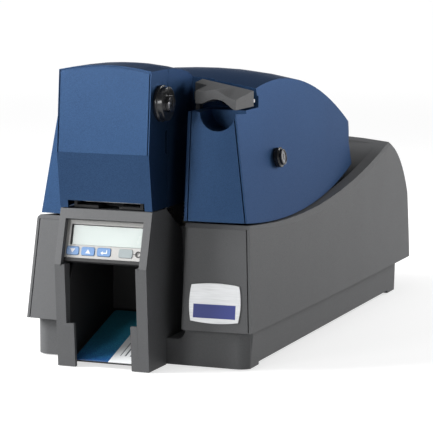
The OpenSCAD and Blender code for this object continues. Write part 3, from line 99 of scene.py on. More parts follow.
# ---------------------------------------------------------------- shader graphs
class Graph:
    """Thin helper around a node tree that adds nodes and wires them."""

    def __init__(self, tree: bpy.types.NodeTree) -> None:
        """Wraps a tree.

        Args:
            tree: node tree of a material, a world or a group.
        """
        self.tree = tree

    def add(self, kind: str, **settings: object) -> bpy.types.Node:
        """Adds a node.

        Args:
            kind: node type without its ShaderNode prefix.
            settings: properties of the node, set by name.

        Returns:
            The new node.
        """
        node = self.tree.nodes.new("ShaderNode" + kind)
        for key, value in settings.items():
            setattr(node, key, value)
        return node

    def wire(self, source: bpy.types.NodeSocket, target: bpy.types.NodeSocket) -> None:
        """Links two sockets."""
        self.tree.links.new(source, target)

    def math(self, operation: str, first: object, second: object = 0.0) -> bpy.types.NodeSocket:
        """Adds a Math node.

        Args:
            operation: the node's operation, such as MULTIPLY.
            first: socket or number for the first input.
            second: socket or number for the second input.

        Returns:
            The node's output socket.
        """
        node = self.add("Math", operation=operation)
        for place, value in enumerate((first, second)):
            if isinstance(value, (int, float)):
                node.inputs[place].default_value = value
            else:
                self.wire(value, node.inputs[place])
        return node.outputs[0]

    def mix(self, factor: object, low: object, high: object) -> bpy.types.NodeSocket:
        """Mixes two colours.

        Args:
            factor: socket or number, 0 for low and 1 for high.
            low: colour or socket.
            high: colour or socket.

        Returns:
            The mixed colour's socket.
        """
        node = self.add("Mix", data_type="RGBA")
        for place, value in ((0, factor), (6, low), (7, high)):
            if isinstance(value, bpy.types.NodeSocket):
                self.wire(value, node.inputs[place])
            elif isinstance(value, tuple):
                node.inputs[place].default_value = (*value, 1.0)
            else:
                node.inputs[place].default_value = value
        return node.outputs[2]

    def ramp(self, value: bpy.types.NodeSocket, low: float, high: float,
             out_low: float = 0.0, out_high: float = 1.0) -> bpy.types.NodeSocket:
        """Maps a value linearly from one range to another, clamped.

        Args:
            value: socket to map.
            low: input that gives out_low.
            high: input that gives out_high.
            out_low: lower output.
            out_high: upper output.

        Returns:
            The mapped value's socket.
        """
        node = self.add("MapRange")
        self.wire(value, node.inputs[0])
        for place, number in enumerate((low, high, out_low, out_high), 1):
            node.inputs[place].default_value = number
        return node.outputs[0]

    def group(self, tree: bpy.types.NodeTree, **values: object) -> bpy.types.Node:
        """Places a node group.

        Args:
            tree: the group.
            values: numbers, colours or sockets for its inputs, with _ for a blank.

        Returns:
            The group node.
        """
        node = self.add("Group", node_tree=tree)
        for key, value in values.items():
            socket = node.inputs[key.replace("_", " ")]
            if isinstance(value, bpy.types.NodeSocket):
                self.wire(value, socket)
            elif isinstance(value, tuple):
                socket.default_value = (*value, 1.0)
            else:
                socket.default_value = value
        return node


class Effects:
    """Shader groups that several finishes share, each built once."""

    _made: dict[str, bpy.types.NodeTree] = {}

    @classmethod
    def _start(cls, name: str, inputs: Sequence[tuple[str, str, object]],
               outputs: Sequence[tuple[str, str]]) -> tuple[Graph, bpy.types.Node, bpy.types.Node]:
        """Makes an empty group with its sockets.

        Args:
            name: the group's name.
            inputs: name, socket type and default of each input.
            outputs: name and socket type of each output.

        Returns:
            The graph, its input node and its output node.
        """
        tree = bpy.data.node_groups.new(name, "ShaderNodeTree")
        for label, kind, default in inputs:
            socket = tree.interface.new_socket(label, in_out="INPUT", socket_type=kind)
            if default is not None:
                socket.default_value = default
        for label, kind in outputs:
            tree.interface.new_socket(label, in_out="OUTPUT", socket_type=kind)
        graph = Graph(tree)
        cls._made[name] = tree
        return graph, tree.nodes.new("NodeGroupInput"), tree.nodes.new("NodeGroupOutput")

    @classmethod
    def grain(cls) -> bpy.types.NodeTree:
        """Spark-eroded grain of moulded plastic: a fine height and a broad uneven tone."""
        name = "moulded_grain"
        if name in cls._made:
            return cls._made[name]
        graph, source, sink = cls._start(
            name,
            [("Scale", "NodeSocketFloat", 1500.0), ("Patch Scale", "NodeSocketFloat", 24.0)],
            [("Height", "NodeSocketFloat"), ("Tone", "NodeSocketFloat")])
        place = graph.add("TexCoord").outputs["Object"]
        fine = graph.add("TexNoise")
        fine.inputs["Detail"].default_value = 3.0
        fine.inputs["Roughness"].default_value = 0.62
        graph.wire(place, fine.inputs["Vector"])
        graph.wire(source.outputs["Scale"], fine.inputs["Scale"])
        broad = graph.add("TexNoise")
        broad.inputs["Detail"].default_value = 4.0
        graph.wire(place, broad.inputs["Vector"])
        graph.wire(source.outputs["Patch Scale"], broad.inputs["Scale"])
        graph.wire(fine.outputs[0], sink.inputs["Height"])
        graph.wire(graph.ramp(broad.outputs[0], 0.3, 0.7), sink.inputs["Tone"])
        return cls._made[name]

    @classmethod
    def flake(cls) -> bpy.types.NodeTree:
        """Metal flake under lacquer: each cell of a fine pattern takes its own brightness."""
        name = "metal_flake"
        if name in cls._made:
            return cls._made[name]
        graph, source, sink = cls._start(
            name,
            [("Deep", "NodeSocketColor", None), ("Bright", "NodeSocketColor", None),
             ("Scale", "NodeSocketFloat", 1600.0)],
            [("Color", "NodeSocketColor"), ("Sparkle", "NodeSocketFloat"),
             ("Peel", "NodeSocketFloat")])
        place = graph.add("TexCoord").outputs["Object"]
        cells = graph.add("TexVoronoi")
        graph.wire(place, cells.inputs["Vector"])
        graph.wire(source.outputs["Scale"], cells.inputs["Scale"])
        split = graph.add("SeparateColor")
        graph.wire(cells.outputs["Color"], split.inputs[0])
        cloud = graph.add("TexNoise")
        cloud.inputs["Scale"].default_value = 14.0
        cloud.inputs["Detail"].default_value = 3.0
        graph.wire(place, cloud.inputs["Vector"])
        level = graph.math("ADD", graph.math("MULTIPLY", split.outputs[0], 0.6),
                           graph.math("MULTIPLY", cloud.outputs[0], 0.4))
        graph.wire(graph.mix(level, source.outputs["Deep"], source.outputs["Bright"]),
                   sink.inputs["Color"])
        graph.wire(split.outputs[1], sink.inputs["Sparkle"])
        peel = graph.add("TexNoise")
        peel.inputs["Scale"].default_value = 260.0
        graph.wire(place, peel.inputs["Vector"])
        graph.wire(peel.outputs[0], sink.inputs["Peel"])
        return cls._made[name]

    @classmethod
    def brushed(cls) -> bpy.types.NodeTree:
        """Fine lines of a brushed or rolled sheet, drawn out along one axis."""
        name = "brushed_lines"
        if name in cls._made:
            return cls._made[name]
        graph, source, sink = cls._start(
            name,
            [("Stretch", "NodeSocketVector", (0.02, 1.0, 1.0)),
             ("Scale", "NodeSocketFloat", 900.0)],
            [("Height", "NodeSocketFloat"), ("Tone", "NodeSocketFloat")])
        place = graph.add("TexCoord").outputs["Object"]
        turn = graph.add("Mapping")
        graph.wire(place, turn.inputs["Vector"])
        graph.wire(source.outputs["Stretch"], turn.inputs["Scale"])
        lines = graph.add("TexNoise")
        lines.inputs["Detail"].default_value = 4.0
        graph.wire(turn.outputs[0], lines.inputs["Vector"])
        graph.wire(source.outputs["Scale"], lines.inputs["Scale"])
        graph.wire(lines.outputs[0], sink.inputs["Height"])
        graph.wire(graph.ramp(lines.outputs[0], 0.3, 0.7), sink.inputs["Tone"])
        return cls._made[name]


# ---------------------------------------------------------------- finishes
def fresh_material(name: str) -> tuple[bpy.types.Material, Graph, bpy.types.Node]:
    """Makes a material with an empty Principled shader.

    Args:
        name: the material's name.

    Returns:
        The material, its graph and its shader node.
    """
    material = bpy.data.materials.new(name)
    material.use_nodes = True
    return material, Graph(material.node_tree), material.node_tree.nodes["Principled BSDF"]


def bump(graph: Graph, height: bpy.types.NodeSocket, strength: float, depth_mm: float,
         shader: bpy.types.Node, into: str = "Normal") -> None:
    """Feeds a height into a shader's normal.

    Args:
        graph: the material's graph.
        height: height socket, 0 to 1.
        strength: strength of the bump.
        depth_mm: depth that a height of 1 stands for.
        shader: the Principled shader.
        into: normal input to feed.
    """
    node = graph.add("Bump")
    node.inputs["Strength"].default_value = strength
    node.inputs["Distance"].default_value = depth_mm * MM
    graph.wire(height, node.inputs["Height"])
    graph.wire(node.outputs[0], shader.inputs[into])


@dataclass(frozen=True)
class Paint:
    """Metallic lacquer on the tower and the cover."""

    name: str
    deep: RGB
    bright: RGB
    metallic: float = 0.74
    rough: float = 0.42
    coat: float = 0.06
    coat_rough: float = 0.2
    edge_tint: RGB = (0.35, 0.45, 0.68)
    flake_scale: float = 3200.0

    def build(self) -> bpy.types.Material:
        """Builds the material."""
        material, graph, shader = fresh_material(self.name)
        flake = graph.group(Effects.flake(), Deep=self.deep, Bright=self.bright,
                            Scale=self.flake_scale)
        graph.wire(flake.outputs["Color"], shader.inputs["Base Color"])
        graph.wire(graph.ramp(flake.outputs["Sparkle"], 0.0, 1.0, self.rough - 0.06,
                              self.rough + 0.06), shader.inputs["Roughness"])
        shader.inputs["Metallic"].default_value = self.metallic
        shader.inputs["Specular Tint"].default_value = (*self.edge_tint, 1.0)
        shader.inputs["Coat Weight"].default_value = self.coat
        shader.inputs["Coat Roughness"].default_value = self.coat_rough
        bump(graph, flake.outputs["Peel"], 0.05, 0.2, shader)
        return material


@dataclass(frozen=True)
class Moulded:
    """Moulded plastic with an eroded grain."""

    name: str
    tone: RGB
    shade: float = 0.78
    rough: float = 0.55
    grain: float = 0.35
    grain_scale: float = 1400.0
    depth_mm: float = 0.12
    specular: float = 0.5

    def build(self) -> bpy.types.Material:
        """Builds the material."""
        material, graph, shader = fresh_material(self.name)
        grain = graph.group(Effects.grain(), Scale=self.grain_scale, Patch_Scale=22.0)
        low = tuple(self.shade * part for part in self.tone)
        speck = graph.ramp(grain.outputs["Height"], 0.32, 0.68)
        level = graph.math("ADD", graph.math("MULTIPLY", grain.outputs["Tone"], 0.35),
                           graph.math("MULTIPLY", speck, 0.65))
        graph.wire(graph.mix(level, low, self.tone), shader.inputs["Base Color"])
        graph.wire(graph.ramp(grain.outputs["Height"], 0.3, 0.7, self.rough + 0.08,
                              self.rough - 0.06), shader.inputs["Roughness"])
        shader.inputs["Specular IOR Level"].default_value = self.specular
        bump(graph, grain.outputs["Height"], self.grain, self.depth_mm, shader)
        return material


@dataclass(frozen=True)
class Metal:
    """Bare metal, brushed along one axis or plain."""

    name: str
    tone: RGB
    rough: float = 0.32
    stretch: tuple[float, float, float] = (0.03, 1.0, 1.0)
    lines: float = 0.12

    def build(self) -> bpy.types.Material:
        """Builds the material."""
        material, graph, shader = fresh_material(self.name)
        lines = graph.add("Group", node_tree=Effects.brushed())
        lines.inputs["Stretch"].default_value = self.stretch
        low = tuple(0.82 * part for part in self.tone)
        graph.wire(graph.mix(lines.outputs["Tone"], low, self.tone),
                   shader.inputs["Base Color"])
        graph.wire(graph.ramp(lines.outputs["Tone"], 0.0, 1.0, self.rough + 0.08, self.rough),
                   shader.inputs["Roughness"])
        shader.inputs["Metallic"].default_value = 1.0
        bump(graph, lines.outputs["Height"], self.lines, 0.05, shader)
        return material


@dataclass(frozen=True)
class BandedPlate:
    """Bare silver badge plate with one plain blue band across it."""

    name: str
    silver: RGB = (0.62, 0.63, 0.64)
    band: RGB = (0.035, 0.05, 0.24)
    low_mm: float = 42.3
    high_mm: float = 53.3
    middle_mm: float = 67.2
    half_mm: float = 17.6

    def build(self) -> bpy.types.Material:
        """Builds the material: the band lies between two heights."""
        material, graph, shader = fresh_material(self.name)
        axes = graph.add("SeparateXYZ")
        graph.wire(graph.add("TexCoord").outputs["Object"], axes.inputs[0])
        aside = graph.math("ABSOLUTE", graph.math("SUBTRACT", axes.outputs["X"],
                                                  self.middle_mm * MM))
        inside = graph.math(
            "MULTIPLY",
            graph.ramp(aside, (self.half_mm + 0.1) * MM, (self.half_mm - 0.1) * MM),
            graph.math("MULTIPLY",
                       graph.ramp(axes.outputs["Z"], (self.low_mm - 0.1) * MM,
                                  (self.low_mm + 0.1) * MM),
                       graph.ramp(axes.outputs["Z"], (self.high_mm + 0.1) * MM,
                                  (self.high_mm - 0.1) * MM)))
        lines = graph.add("Group", node_tree=Effects.brushed())
        lines.inputs["Stretch"].default_value = (0.03, 1.0, 1.0)
        low = tuple(0.85 * part for part in self.silver)
        plate = graph.mix(lines.outputs["Tone"], low, self.silver)
        graph.wire(graph.mix(inside, plate, self.band), shader.inputs["Base Color"])
        graph.wire(graph.ramp(inside, 0.0, 1.0, 0.75, 0.1), shader.inputs["Metallic"])
        graph.wire(graph.ramp(lines.outputs["Tone"], 0.0, 1.0, 0.42, 0.34),
                   shader.inputs["Roughness"])
        bump(graph, lines.outputs["Height"], 0.1, 0.05, shader)
        return material


@dataclass(frozen=True)
class PrintedCard:
    """Glossy white card with plain colour fields and blank lines."""

    name: str
    paper: RGB = (0.8, 0.82, 0.83)
    field_tone: RGB = (0.015, 0.05, 0.2)
    far_tone: RGB = (0.05, 0.36, 0.5)
    ink: RGB = (0.12, 0.13, 0.15)
    edge_mm: tuple[float, float] = (-13.6, -13.9)
    cloud_mm: tuple[float, float] = (-230.0, -160.0)
    row_mm: float = 4.5
    row_level: float = 0.55
    run_mm: tuple[float, float] = (-216.0, -178.0)
    zone_mm: tuple[float, float] = (-8.0, 4.0)

    def build(self) -> bpy.types.Material:
        """Builds the material: fields are set by the distance across and along the card."""
        material, graph, shader = fresh_material(self.name)
        axes = graph.add("SeparateXYZ")
        graph.wire(graph.add("TexCoord").outputs["Object"], axes.inputs[0])
        across = axes.outputs["X"]
        along = axes.outputs["Y"]
        wave = graph.add("TexNoise")
        wave.inputs["Scale"].default_value = 90.0
        wave.inputs["Detail"].default_value = 5.0
        wave.inputs["Distortion"].default_value = 1.2
        left = graph.ramp(across, self.edge_mm[0] * MM, self.edge_mm[1] * MM)
        cloud = graph.math("ADD", graph.ramp(wave.outputs[0], 0.35, 0.7, -0.3, 0.45),
                           graph.ramp(along, self.cloud_mm[0] * MM, self.cloud_mm[1] * MM))
        blend = graph.mix(graph.ramp(cloud, 0.0, 1.0), self.field_tone, self.far_tone)
        base = graph.mix(left, self.paper, blend)
        rows = graph.math("SINE", graph.math("MULTIPLY", across,
                                             2 * math.pi / (self.row_mm * MM)))
        on_row = graph.math("GREATER_THAN", rows, self.row_level)
        run = graph.math("MULTIPLY", graph.math("GREATER_THAN", along, self.run_mm[0] * MM),
                         graph.math("LESS_THAN", along, self.run_mm[1] * MM))
        zone = graph.math("MULTIPLY", graph.math("GREATER_THAN", across, self.zone_mm[0] * MM),
                          graph.math("LESS_THAN", across, self.zone_mm[1] * MM))
        mark = graph.math("MULTIPLY", graph.math("MULTIPLY", on_row, run), zone)
        graph.wire(graph.mix(mark, base, self.ink), shader.inputs["Base Color"])
        shader.inputs["Roughness"].default_value = 0.22
        grain = graph.group(Effects.grain(), Scale=900.0, Patch_Scale=30.0)
        bump(graph, grain.outputs["Height"], 0.04, 0.05, shader)
        return material


@dataclass(frozen=True)
class Screen:
    """Reflective display: pale green grey with fine dot rows."""

    name: str
    glass: RGB = (0.27, 0.33, 0.31)
    dots: RGB = (0.25, 0.305, 0.285)
    dot_mm: float = 0.6

    def build(self) -> bpy.types.Material:
        """Builds the material."""
        material, graph, shader = fresh_material(self.name)
        axes = graph.add("SeparateXYZ")
        graph.wire(graph.add("TexCoord").outputs["Object"], axes.inputs[0])
        across = graph.math("SINE", graph.math("MULTIPLY", axes.outputs["X"],
                                               2 * math.pi / (self.dot_mm * MM)))
        rows = graph.math("SINE", graph.math("MULTIPLY", axes.outputs["Z"],
                                             2 * math.pi / (self.dot_mm * MM)))
        dot = graph.ramp(graph.math("MULTIPLY", across, rows), -1.0, 1.0)
        graph.wire(graph.mix(dot, self.glass, self.dots), shader.inputs["Base Color"])
        cloud = graph.group(Effects.grain(), Scale=400.0, Patch_Scale=60.0)
        graph.wire(graph.ramp(cloud.outputs["Tone"], 0.0, 1.0, 0.2, 0.3),
                   shader.inputs["Roughness"])
        shader.inputs["Coat Weight"].default_value = 0.5
        return material


PAINT = Paint("blue_metallic_lacquer", (0.011, 0.028, 0.071), (0.03, 0.07, 0.15))
GREY = Moulded("grained_grey_plastic", (0.088, 0.09, 0.094))
GLOSS_BLACK = Moulded("polished_black_plastic", (0.018, 0.018, 0.02), rough=0.2, grain=0.04)
BLACK = Moulded("grained_black_plastic", (0.022, 0.023, 0.025), rough=0.5)
DARK = Moulded("dark_inner_plastic", (0.012, 0.012, 0.013), rough=0.62)
RUBBER = Moulded("black_rubber", (0.02, 0.02, 0.021), rough=0.78, grain=0.2)
SILVER = Moulded("silver_panel_lacquer", (0.5, 0.495, 0.48), rough=0.36, grain=0.06)
BLUE_KEY = Moulded("blue_key_plastic", (0.12, 0.27, 0.55), rough=0.34, grain=0.05)
GREY_KEY = Moulded("grey_key_plastic", (0.3, 0.35, 0.36), rough=0.36, grain=0.05)
WHITE_INK = Moulded("white_ink", (0.78, 0.8, 0.84), rough=0.5, grain=0.03)
IVORY = Moulded("ivory_gear_plastic", (0.66, 0.62, 0.52), rough=0.42, grain=0.08)
BOARD = Moulded("green_board_lacquer", (0.02, 0.13, 0.06), rough=0.32, grain=0.1)
FILM = Moulded("ribbon_film", (0.16, 0.03, 0.08), rough=0.22, grain=0.05)
CLEANER = Moulded("tacky_blue_rubber", (0.07, 0.17, 0.38), rough=0.6, grain=0.1)
STEEL = Metal("turned_steel", (0.56, 0.57, 0.58))
ZINC = Metal("zinc_plated_sheet", (0.5, 0.51, 0.52), rough=0.4, stretch=(1.0, 0.05, 1.0))
CHROME = Metal("bright_chrome", (0.78, 0.79, 0.8), rough=0.12, lines=0.03)
DARK_CHROME = Metal("smoked_chrome", (0.2, 0.2, 0.21), rough=0.18, lines=0.03)
BRASS = Metal("turned_brass", (0.6, 0.43, 0.16), rough=0.28)


class Wardrobe:
    """Builds each finish once and hands out its material."""

    def __init__(self) -> None:
        """Starts empty."""
        self._made: dict[str, bpy.types.Material] = {}

    def of(self, finish: object) -> bpy.types.Material:
        """Returns the finish's material, built at its first use."""
        if finish.name not in self._made:
            self._made[finish.name] = finish.build()
        return self._made[finish.name]


# ---------------------------------------------------------------- meshes
def new_piece(name: str, verts: np.ndarray, faces: Iterable[Sequence[int]],
              smooth_deg: float = 35.0) -> bpy.types.Object:
    """Makes an object at the origin from points in metres.

    Args:
        name: the piece's name.
        verts: points, one row each.
        faces: corner indices of each face.
        smooth_deg: edges sharper than this stay sharp.

    Returns:
        The new object.
    """
    mesh = bpy.data.meshes.new(name)
    mesh.from_pydata(verts.tolist(), [], [list(map(int, face)) for face in faces])
    mesh.validate()
    shade(mesh, smooth_deg)
    piece = bpy.data.objects.new(name, mesh)
    bpy.context.scene.collection.objects.link(piece)
    return piece


def disc_faces(rings: int, spokes: int) -> list[list[int]]:
    """Lists the faces of a disc grid: quads between rings and triangles round its centre.

    Args:
        rings: number of rings of points.
        spokes: points in each ring; the centre's point comes last.

    Returns:
        Corner indices of each face, facing up.
    """
    i, j = np.meshgrid(np.arange(rings - 1), np.arange(spokes), indexing="ij")
    k = (j + 1) % spokes
    quads = np.stack([i * spokes + j, (i + 1) * spokes + j, (i + 1) * spokes + k,
                      i * spokes + k], -1).reshape(-1, 4)
    n = np.arange(spokes)
    hub = np.stack([np.full(spokes, rings * spokes), n, (n + 1) % spokes], -1)
    return quads.tolist() + hub.tolist()


def shade(mesh: bpy.types.Mesh, smooth_deg: float) -> None:
    """Shades a mesh smooth and keeps the edges over an angle sharp."""
    mesh.polygons.foreach_set("use_smooth", np.ones(len(mesh.polygons), bool))
    mesh.set_sharp_from_angle(angle=math.radians(smooth_deg))
    mesh.update()


def dress(piece: bpy.types.Object, material: bpy.types.Material, body: str) -> bpy.types.Object:
    """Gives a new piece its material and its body.

    Args:
        piece: the new object.
        material: its material.
        body: CAD body that it rides on.

    Returns:
        The piece.
    """
    piece.data.materials.clear()
    piece.data.materials.append(material)
    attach(piece, body)
    return piece


@dataclass
class Softener:
    """Lays a copy with rounded edges over a packed moulding."""

    merge: float = 4e-6
    flat_deg: float = 0.05
    segments: int = 2
    area_weight: int = 80

    def copy(self, frame: dict, node: str, body: str, material: bpy.types.Material,
             slot: Slot, edge_mm: float, crease_deg: float) -> bpy.types.Object:
        """Copies a node's mesh, joins its triangles into faces and rounds its edges.

        Args:
            frame: the loaded frame.
            node: CAD node to stand for.
            body: body that the node rides on.
            material: finish of the copy.
            slot: the record's material slot; not used.
            edge_mm: width of the rounded edges.
            crease_deg: edges that bend more than this are rounded and shaded sharp.

        Returns:
            The new piece.
        """
        mesh = frame["nodes"][node].data.copy()
        mesh.name = node + "_moulding"
        work = bmesh.new()
        work.from_mesh(mesh)
        bmesh.ops.remove_doubles(work, verts=work.verts, dist=self.merge)
        bmesh.ops.dissolve_limit(work, angle_limit=math.radians(self.flat_deg),
                                 verts=work.verts, edges=work.edges)
        work.to_mesh(mesh)
        work.free()
        shade(mesh, crease_deg)
        piece = bpy.data.objects.new(node + "_moulding", mesh)
        bpy.context.scene.collection.objects.link(piece)
        dress(piece, material, body)
        rounding = piece.modifiers.new("edges", "BEVEL")
        rounding.width = edge_mm * MM
        rounding.segments = self.segments
        rounding.limit_method = "ANGLE"
        rounding.angle_limit = math.radians(crease_deg)
        rounding.loop_slide = False
        flatten = piece.modifiers.new("flat faces", "WEIGHTED_NORMAL")
        flatten.mode = "FACE_AREA"
        flatten.weight = self.area_weight
        flatten.keep_sharp = True
        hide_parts(node)
        return piece


@dataclass(frozen=True)
class FacePlane:
    """Flat outer face of a CAD node: its middle, its two directions and its outward normal."""

    middle: np.ndarray
    right: np.ndarray
    up: np.ndarray
    out: np.ndarray

    @classmethod
    def front_of(cls, mesh: bpy.types.Mesh) -> "FacePlane":
        """Finds the largest face that looks to the front.

        The faces whose normal points most to the front are averaged by area. Right is the X
        axis laid into the plane, and up is the outward normal crossed with it.

        Args:
            mesh: the node's mesh, in metres.

        Returns:
            The plane of that face.
        """
        count = len(mesh.polygons)
        normal, centre, area = np.empty(count * 3), np.empty(count * 3), np.empty(count)
        mesh.polygons.foreach_get("normal", normal)
        mesh.polygons.foreach_get("center", centre)
        mesh.polygons.foreach_get("area", area)
        normal, centre = normal.reshape(-1, 3), centre.reshape(-1, 3)
        facing = (normal[:, 1] < -0.7) * area
        out = (normal * facing[:, None]).sum(0)
        out /= np.linalg.norm(out)
        reach = centre @ out
        front = facing * (reach > reach[facing > 0].max() - 0.0002)
        middle = (centre * front[:, None]).sum(0) / front.sum()
        right = np.array([1.0, 0.0, 0.0]) - out * out[0]
        right /= np.linalg.norm(right)
        return cls(middle, right, np.cross(out, right), out)

    def place(self, flat_mm: np.ndarray, lift_mm: float) -> np.ndarray:
        """Lifts points drawn in millimetres onto the plane.

        A point is the middle plus right times its first value, up times its second and the
        normal times the lift.
        """
        return (self.middle + MM * (flat_mm[:, :1] * self.right + flat_mm[:, 1:] * self.up
                                    + lift_mm * self.out))


def raised_sign(name: str, outlines: Sequence[np.ndarray], plane: FacePlane,
                thick_mm: float) -> bpy.types.Object:
    """Makes printed signs that stand slightly proud of a face.

    Each outline is drawn twice, just below the face and a thickness above it, and the two are
    joined by side faces.

    Args:
        name: the piece's name.
        outlines: closed outlines in millimetres, anticlockwise seen from the front.
        plane: face that carries them.
        thick_mm: height over the face.

    Returns:
        The new piece.
    """
    verts, faces, start = [], [], 0
    for outline in outlines:
        n = len(outline)
        verts += [plane.place(outline, -0.04), plane.place(outline, thick_mm)]
        ring = np.arange(n)
        after = (ring + 1) % n
        faces.append((start + n + ring).tolist())
        faces.append((start + ring[::-1]).tolist())
        faces += (start + np.stack([ring, after, after + n, ring + n], -1)).tolist()
        start += 2 * n
    return new_piece(name, np.vstack(verts), faces, 30.0)


def box_mm(left: float, low: float, right: float, high: float) -> np.ndarray:
    """Returns the corners of an upright rectangle, anticlockwise."""
    return np.array([(left, low), (right, low), (right, high), (left, high)])


def raised_ring(name: str, centre: tuple[float, float], radii: tuple[float, float],
                plane: FacePlane, low_mm: float, high_mm: float,
                spokes: int = 40) -> bpy.types.Object:
    """Makes a flat ring that stands on a face.

    Its section is a rectangle between the two radii and the two heights, carried round the
    centre: a point is the centre plus radius times the cosine and sine of the turn.

    Args:
        name: the piece's name.
        centre: middle of the ring in millimetres on the plane.
        radii: inner and outer radius in millimetres.
        plane: face that carries it.
        low_mm: height of its under side.
        high_mm: height of its face.
        spokes: points round the ring.

    Returns:
        The new piece.
    """
    turn = np.linspace(0.0, 2 * math.pi, spokes, endpoint=False)
    inner, outer = radii
    rings = [(outer, low_mm), (outer, high_mm), (inner, high_mm), (inner, low_mm)]
    verts = [plane.place(np.stack([centre[0] + radius * np.cos(turn),
                                   centre[1] + radius * np.sin(turn)], -1), lift)
             for radius, lift in rings]
    i, j = np.meshgrid(np.arange(4), np.arange(spokes), indexing="ij")
    k, m = (i + 1) % 4, (j + 1) % spokes
    faces = np.stack([i * spokes + j, i * spokes + m, k * spokes + m, k * spokes + j], -1)
    return new_piece(name, np.vstack(verts), faces.reshape(-1, 4).tolist(), 30.0)


# ---------------------------------------------------------------- sub-assemblies
@dataclass
class Part:
    """One CAD node with its finish and, where it shows, the width of its rounded edges."""

    node: str
    finish: object
    slot: Slot
    edge_mm: float = 0.0
    crease_deg: float = 28.0


@dataclass
class SubAssembly:
    """A group of CAD nodes that ride on known bodies."""

    wardrobe: Wardrobe
    frame: dict
    softener: Softener = field(default_factory=Softener)

    def parts(self) -> list[Part]:
        """Lists the nodes of the group."""
        return []

    def body_of(self, node: str) -> str:
        """Returns the body that a CAD node belongs to."""
        for body, members in self.frame["record"]["behaviour"]["bodies"].items():
            if node in members:
                return body
        raise KeyError(node)

    def build(self) -> None:
        """Dresses each node, or lays its softened copy over it, and reports it."""
        for part in self.parts():
            material = self.wardrobe.of(part.finish)
            if part.edge_mm > 0:
                self.softener.copy(self.frame, part.node, self.body_of(part.node), material,
                                   part.slot, part.edge_mm, part.crease_deg)
            else:
                mesh = self.frame["nodes"][part.node].data
                mesh.materials.clear()
                mesh.materials.append(material)
            LOG.info("%s: %s", part.node, part.finish.name)
        self.fittings()

    def fittings(self) -> None:
        """Adds the pieces that only the scene has."""


class Housing(SubAssembly):
    """Base tray, grey housing, front mouldings and badge."""

    def parts(self) -> list[Part]:
        """Lists the nodes of the housing."""
        return [
            Part("base_tray", GREY, Slot.GREY, 0.8),
            Part("rubber_feet", RUBBER, Slot.RUBBER, 0.3),
            Part("lower_housing", GREY, Slot.GREY, 0.5),
            Part("front_fascia", GREY, Slot.GREY, 0.6),
            Part("badge_plate", BandedPlate("banded_badge"), Slot.PLATE, 0.3),
        ]


class Bin(SubAssembly):
    """Grey bezel, output bin and the finished card."""

    def parts(self) -> list[Part]:
        """Lists the nodes of the output side."""
        return [
            Part("tower_bezel", GREY, Slot.GREY, 0.5, 9.0),
            Part("output_tray", DARK, Slot.BLACK, 0.4),
            Part("printed_card", PrintedCard("printed_card_face"), Slot.CARD, 0.12),
        ]


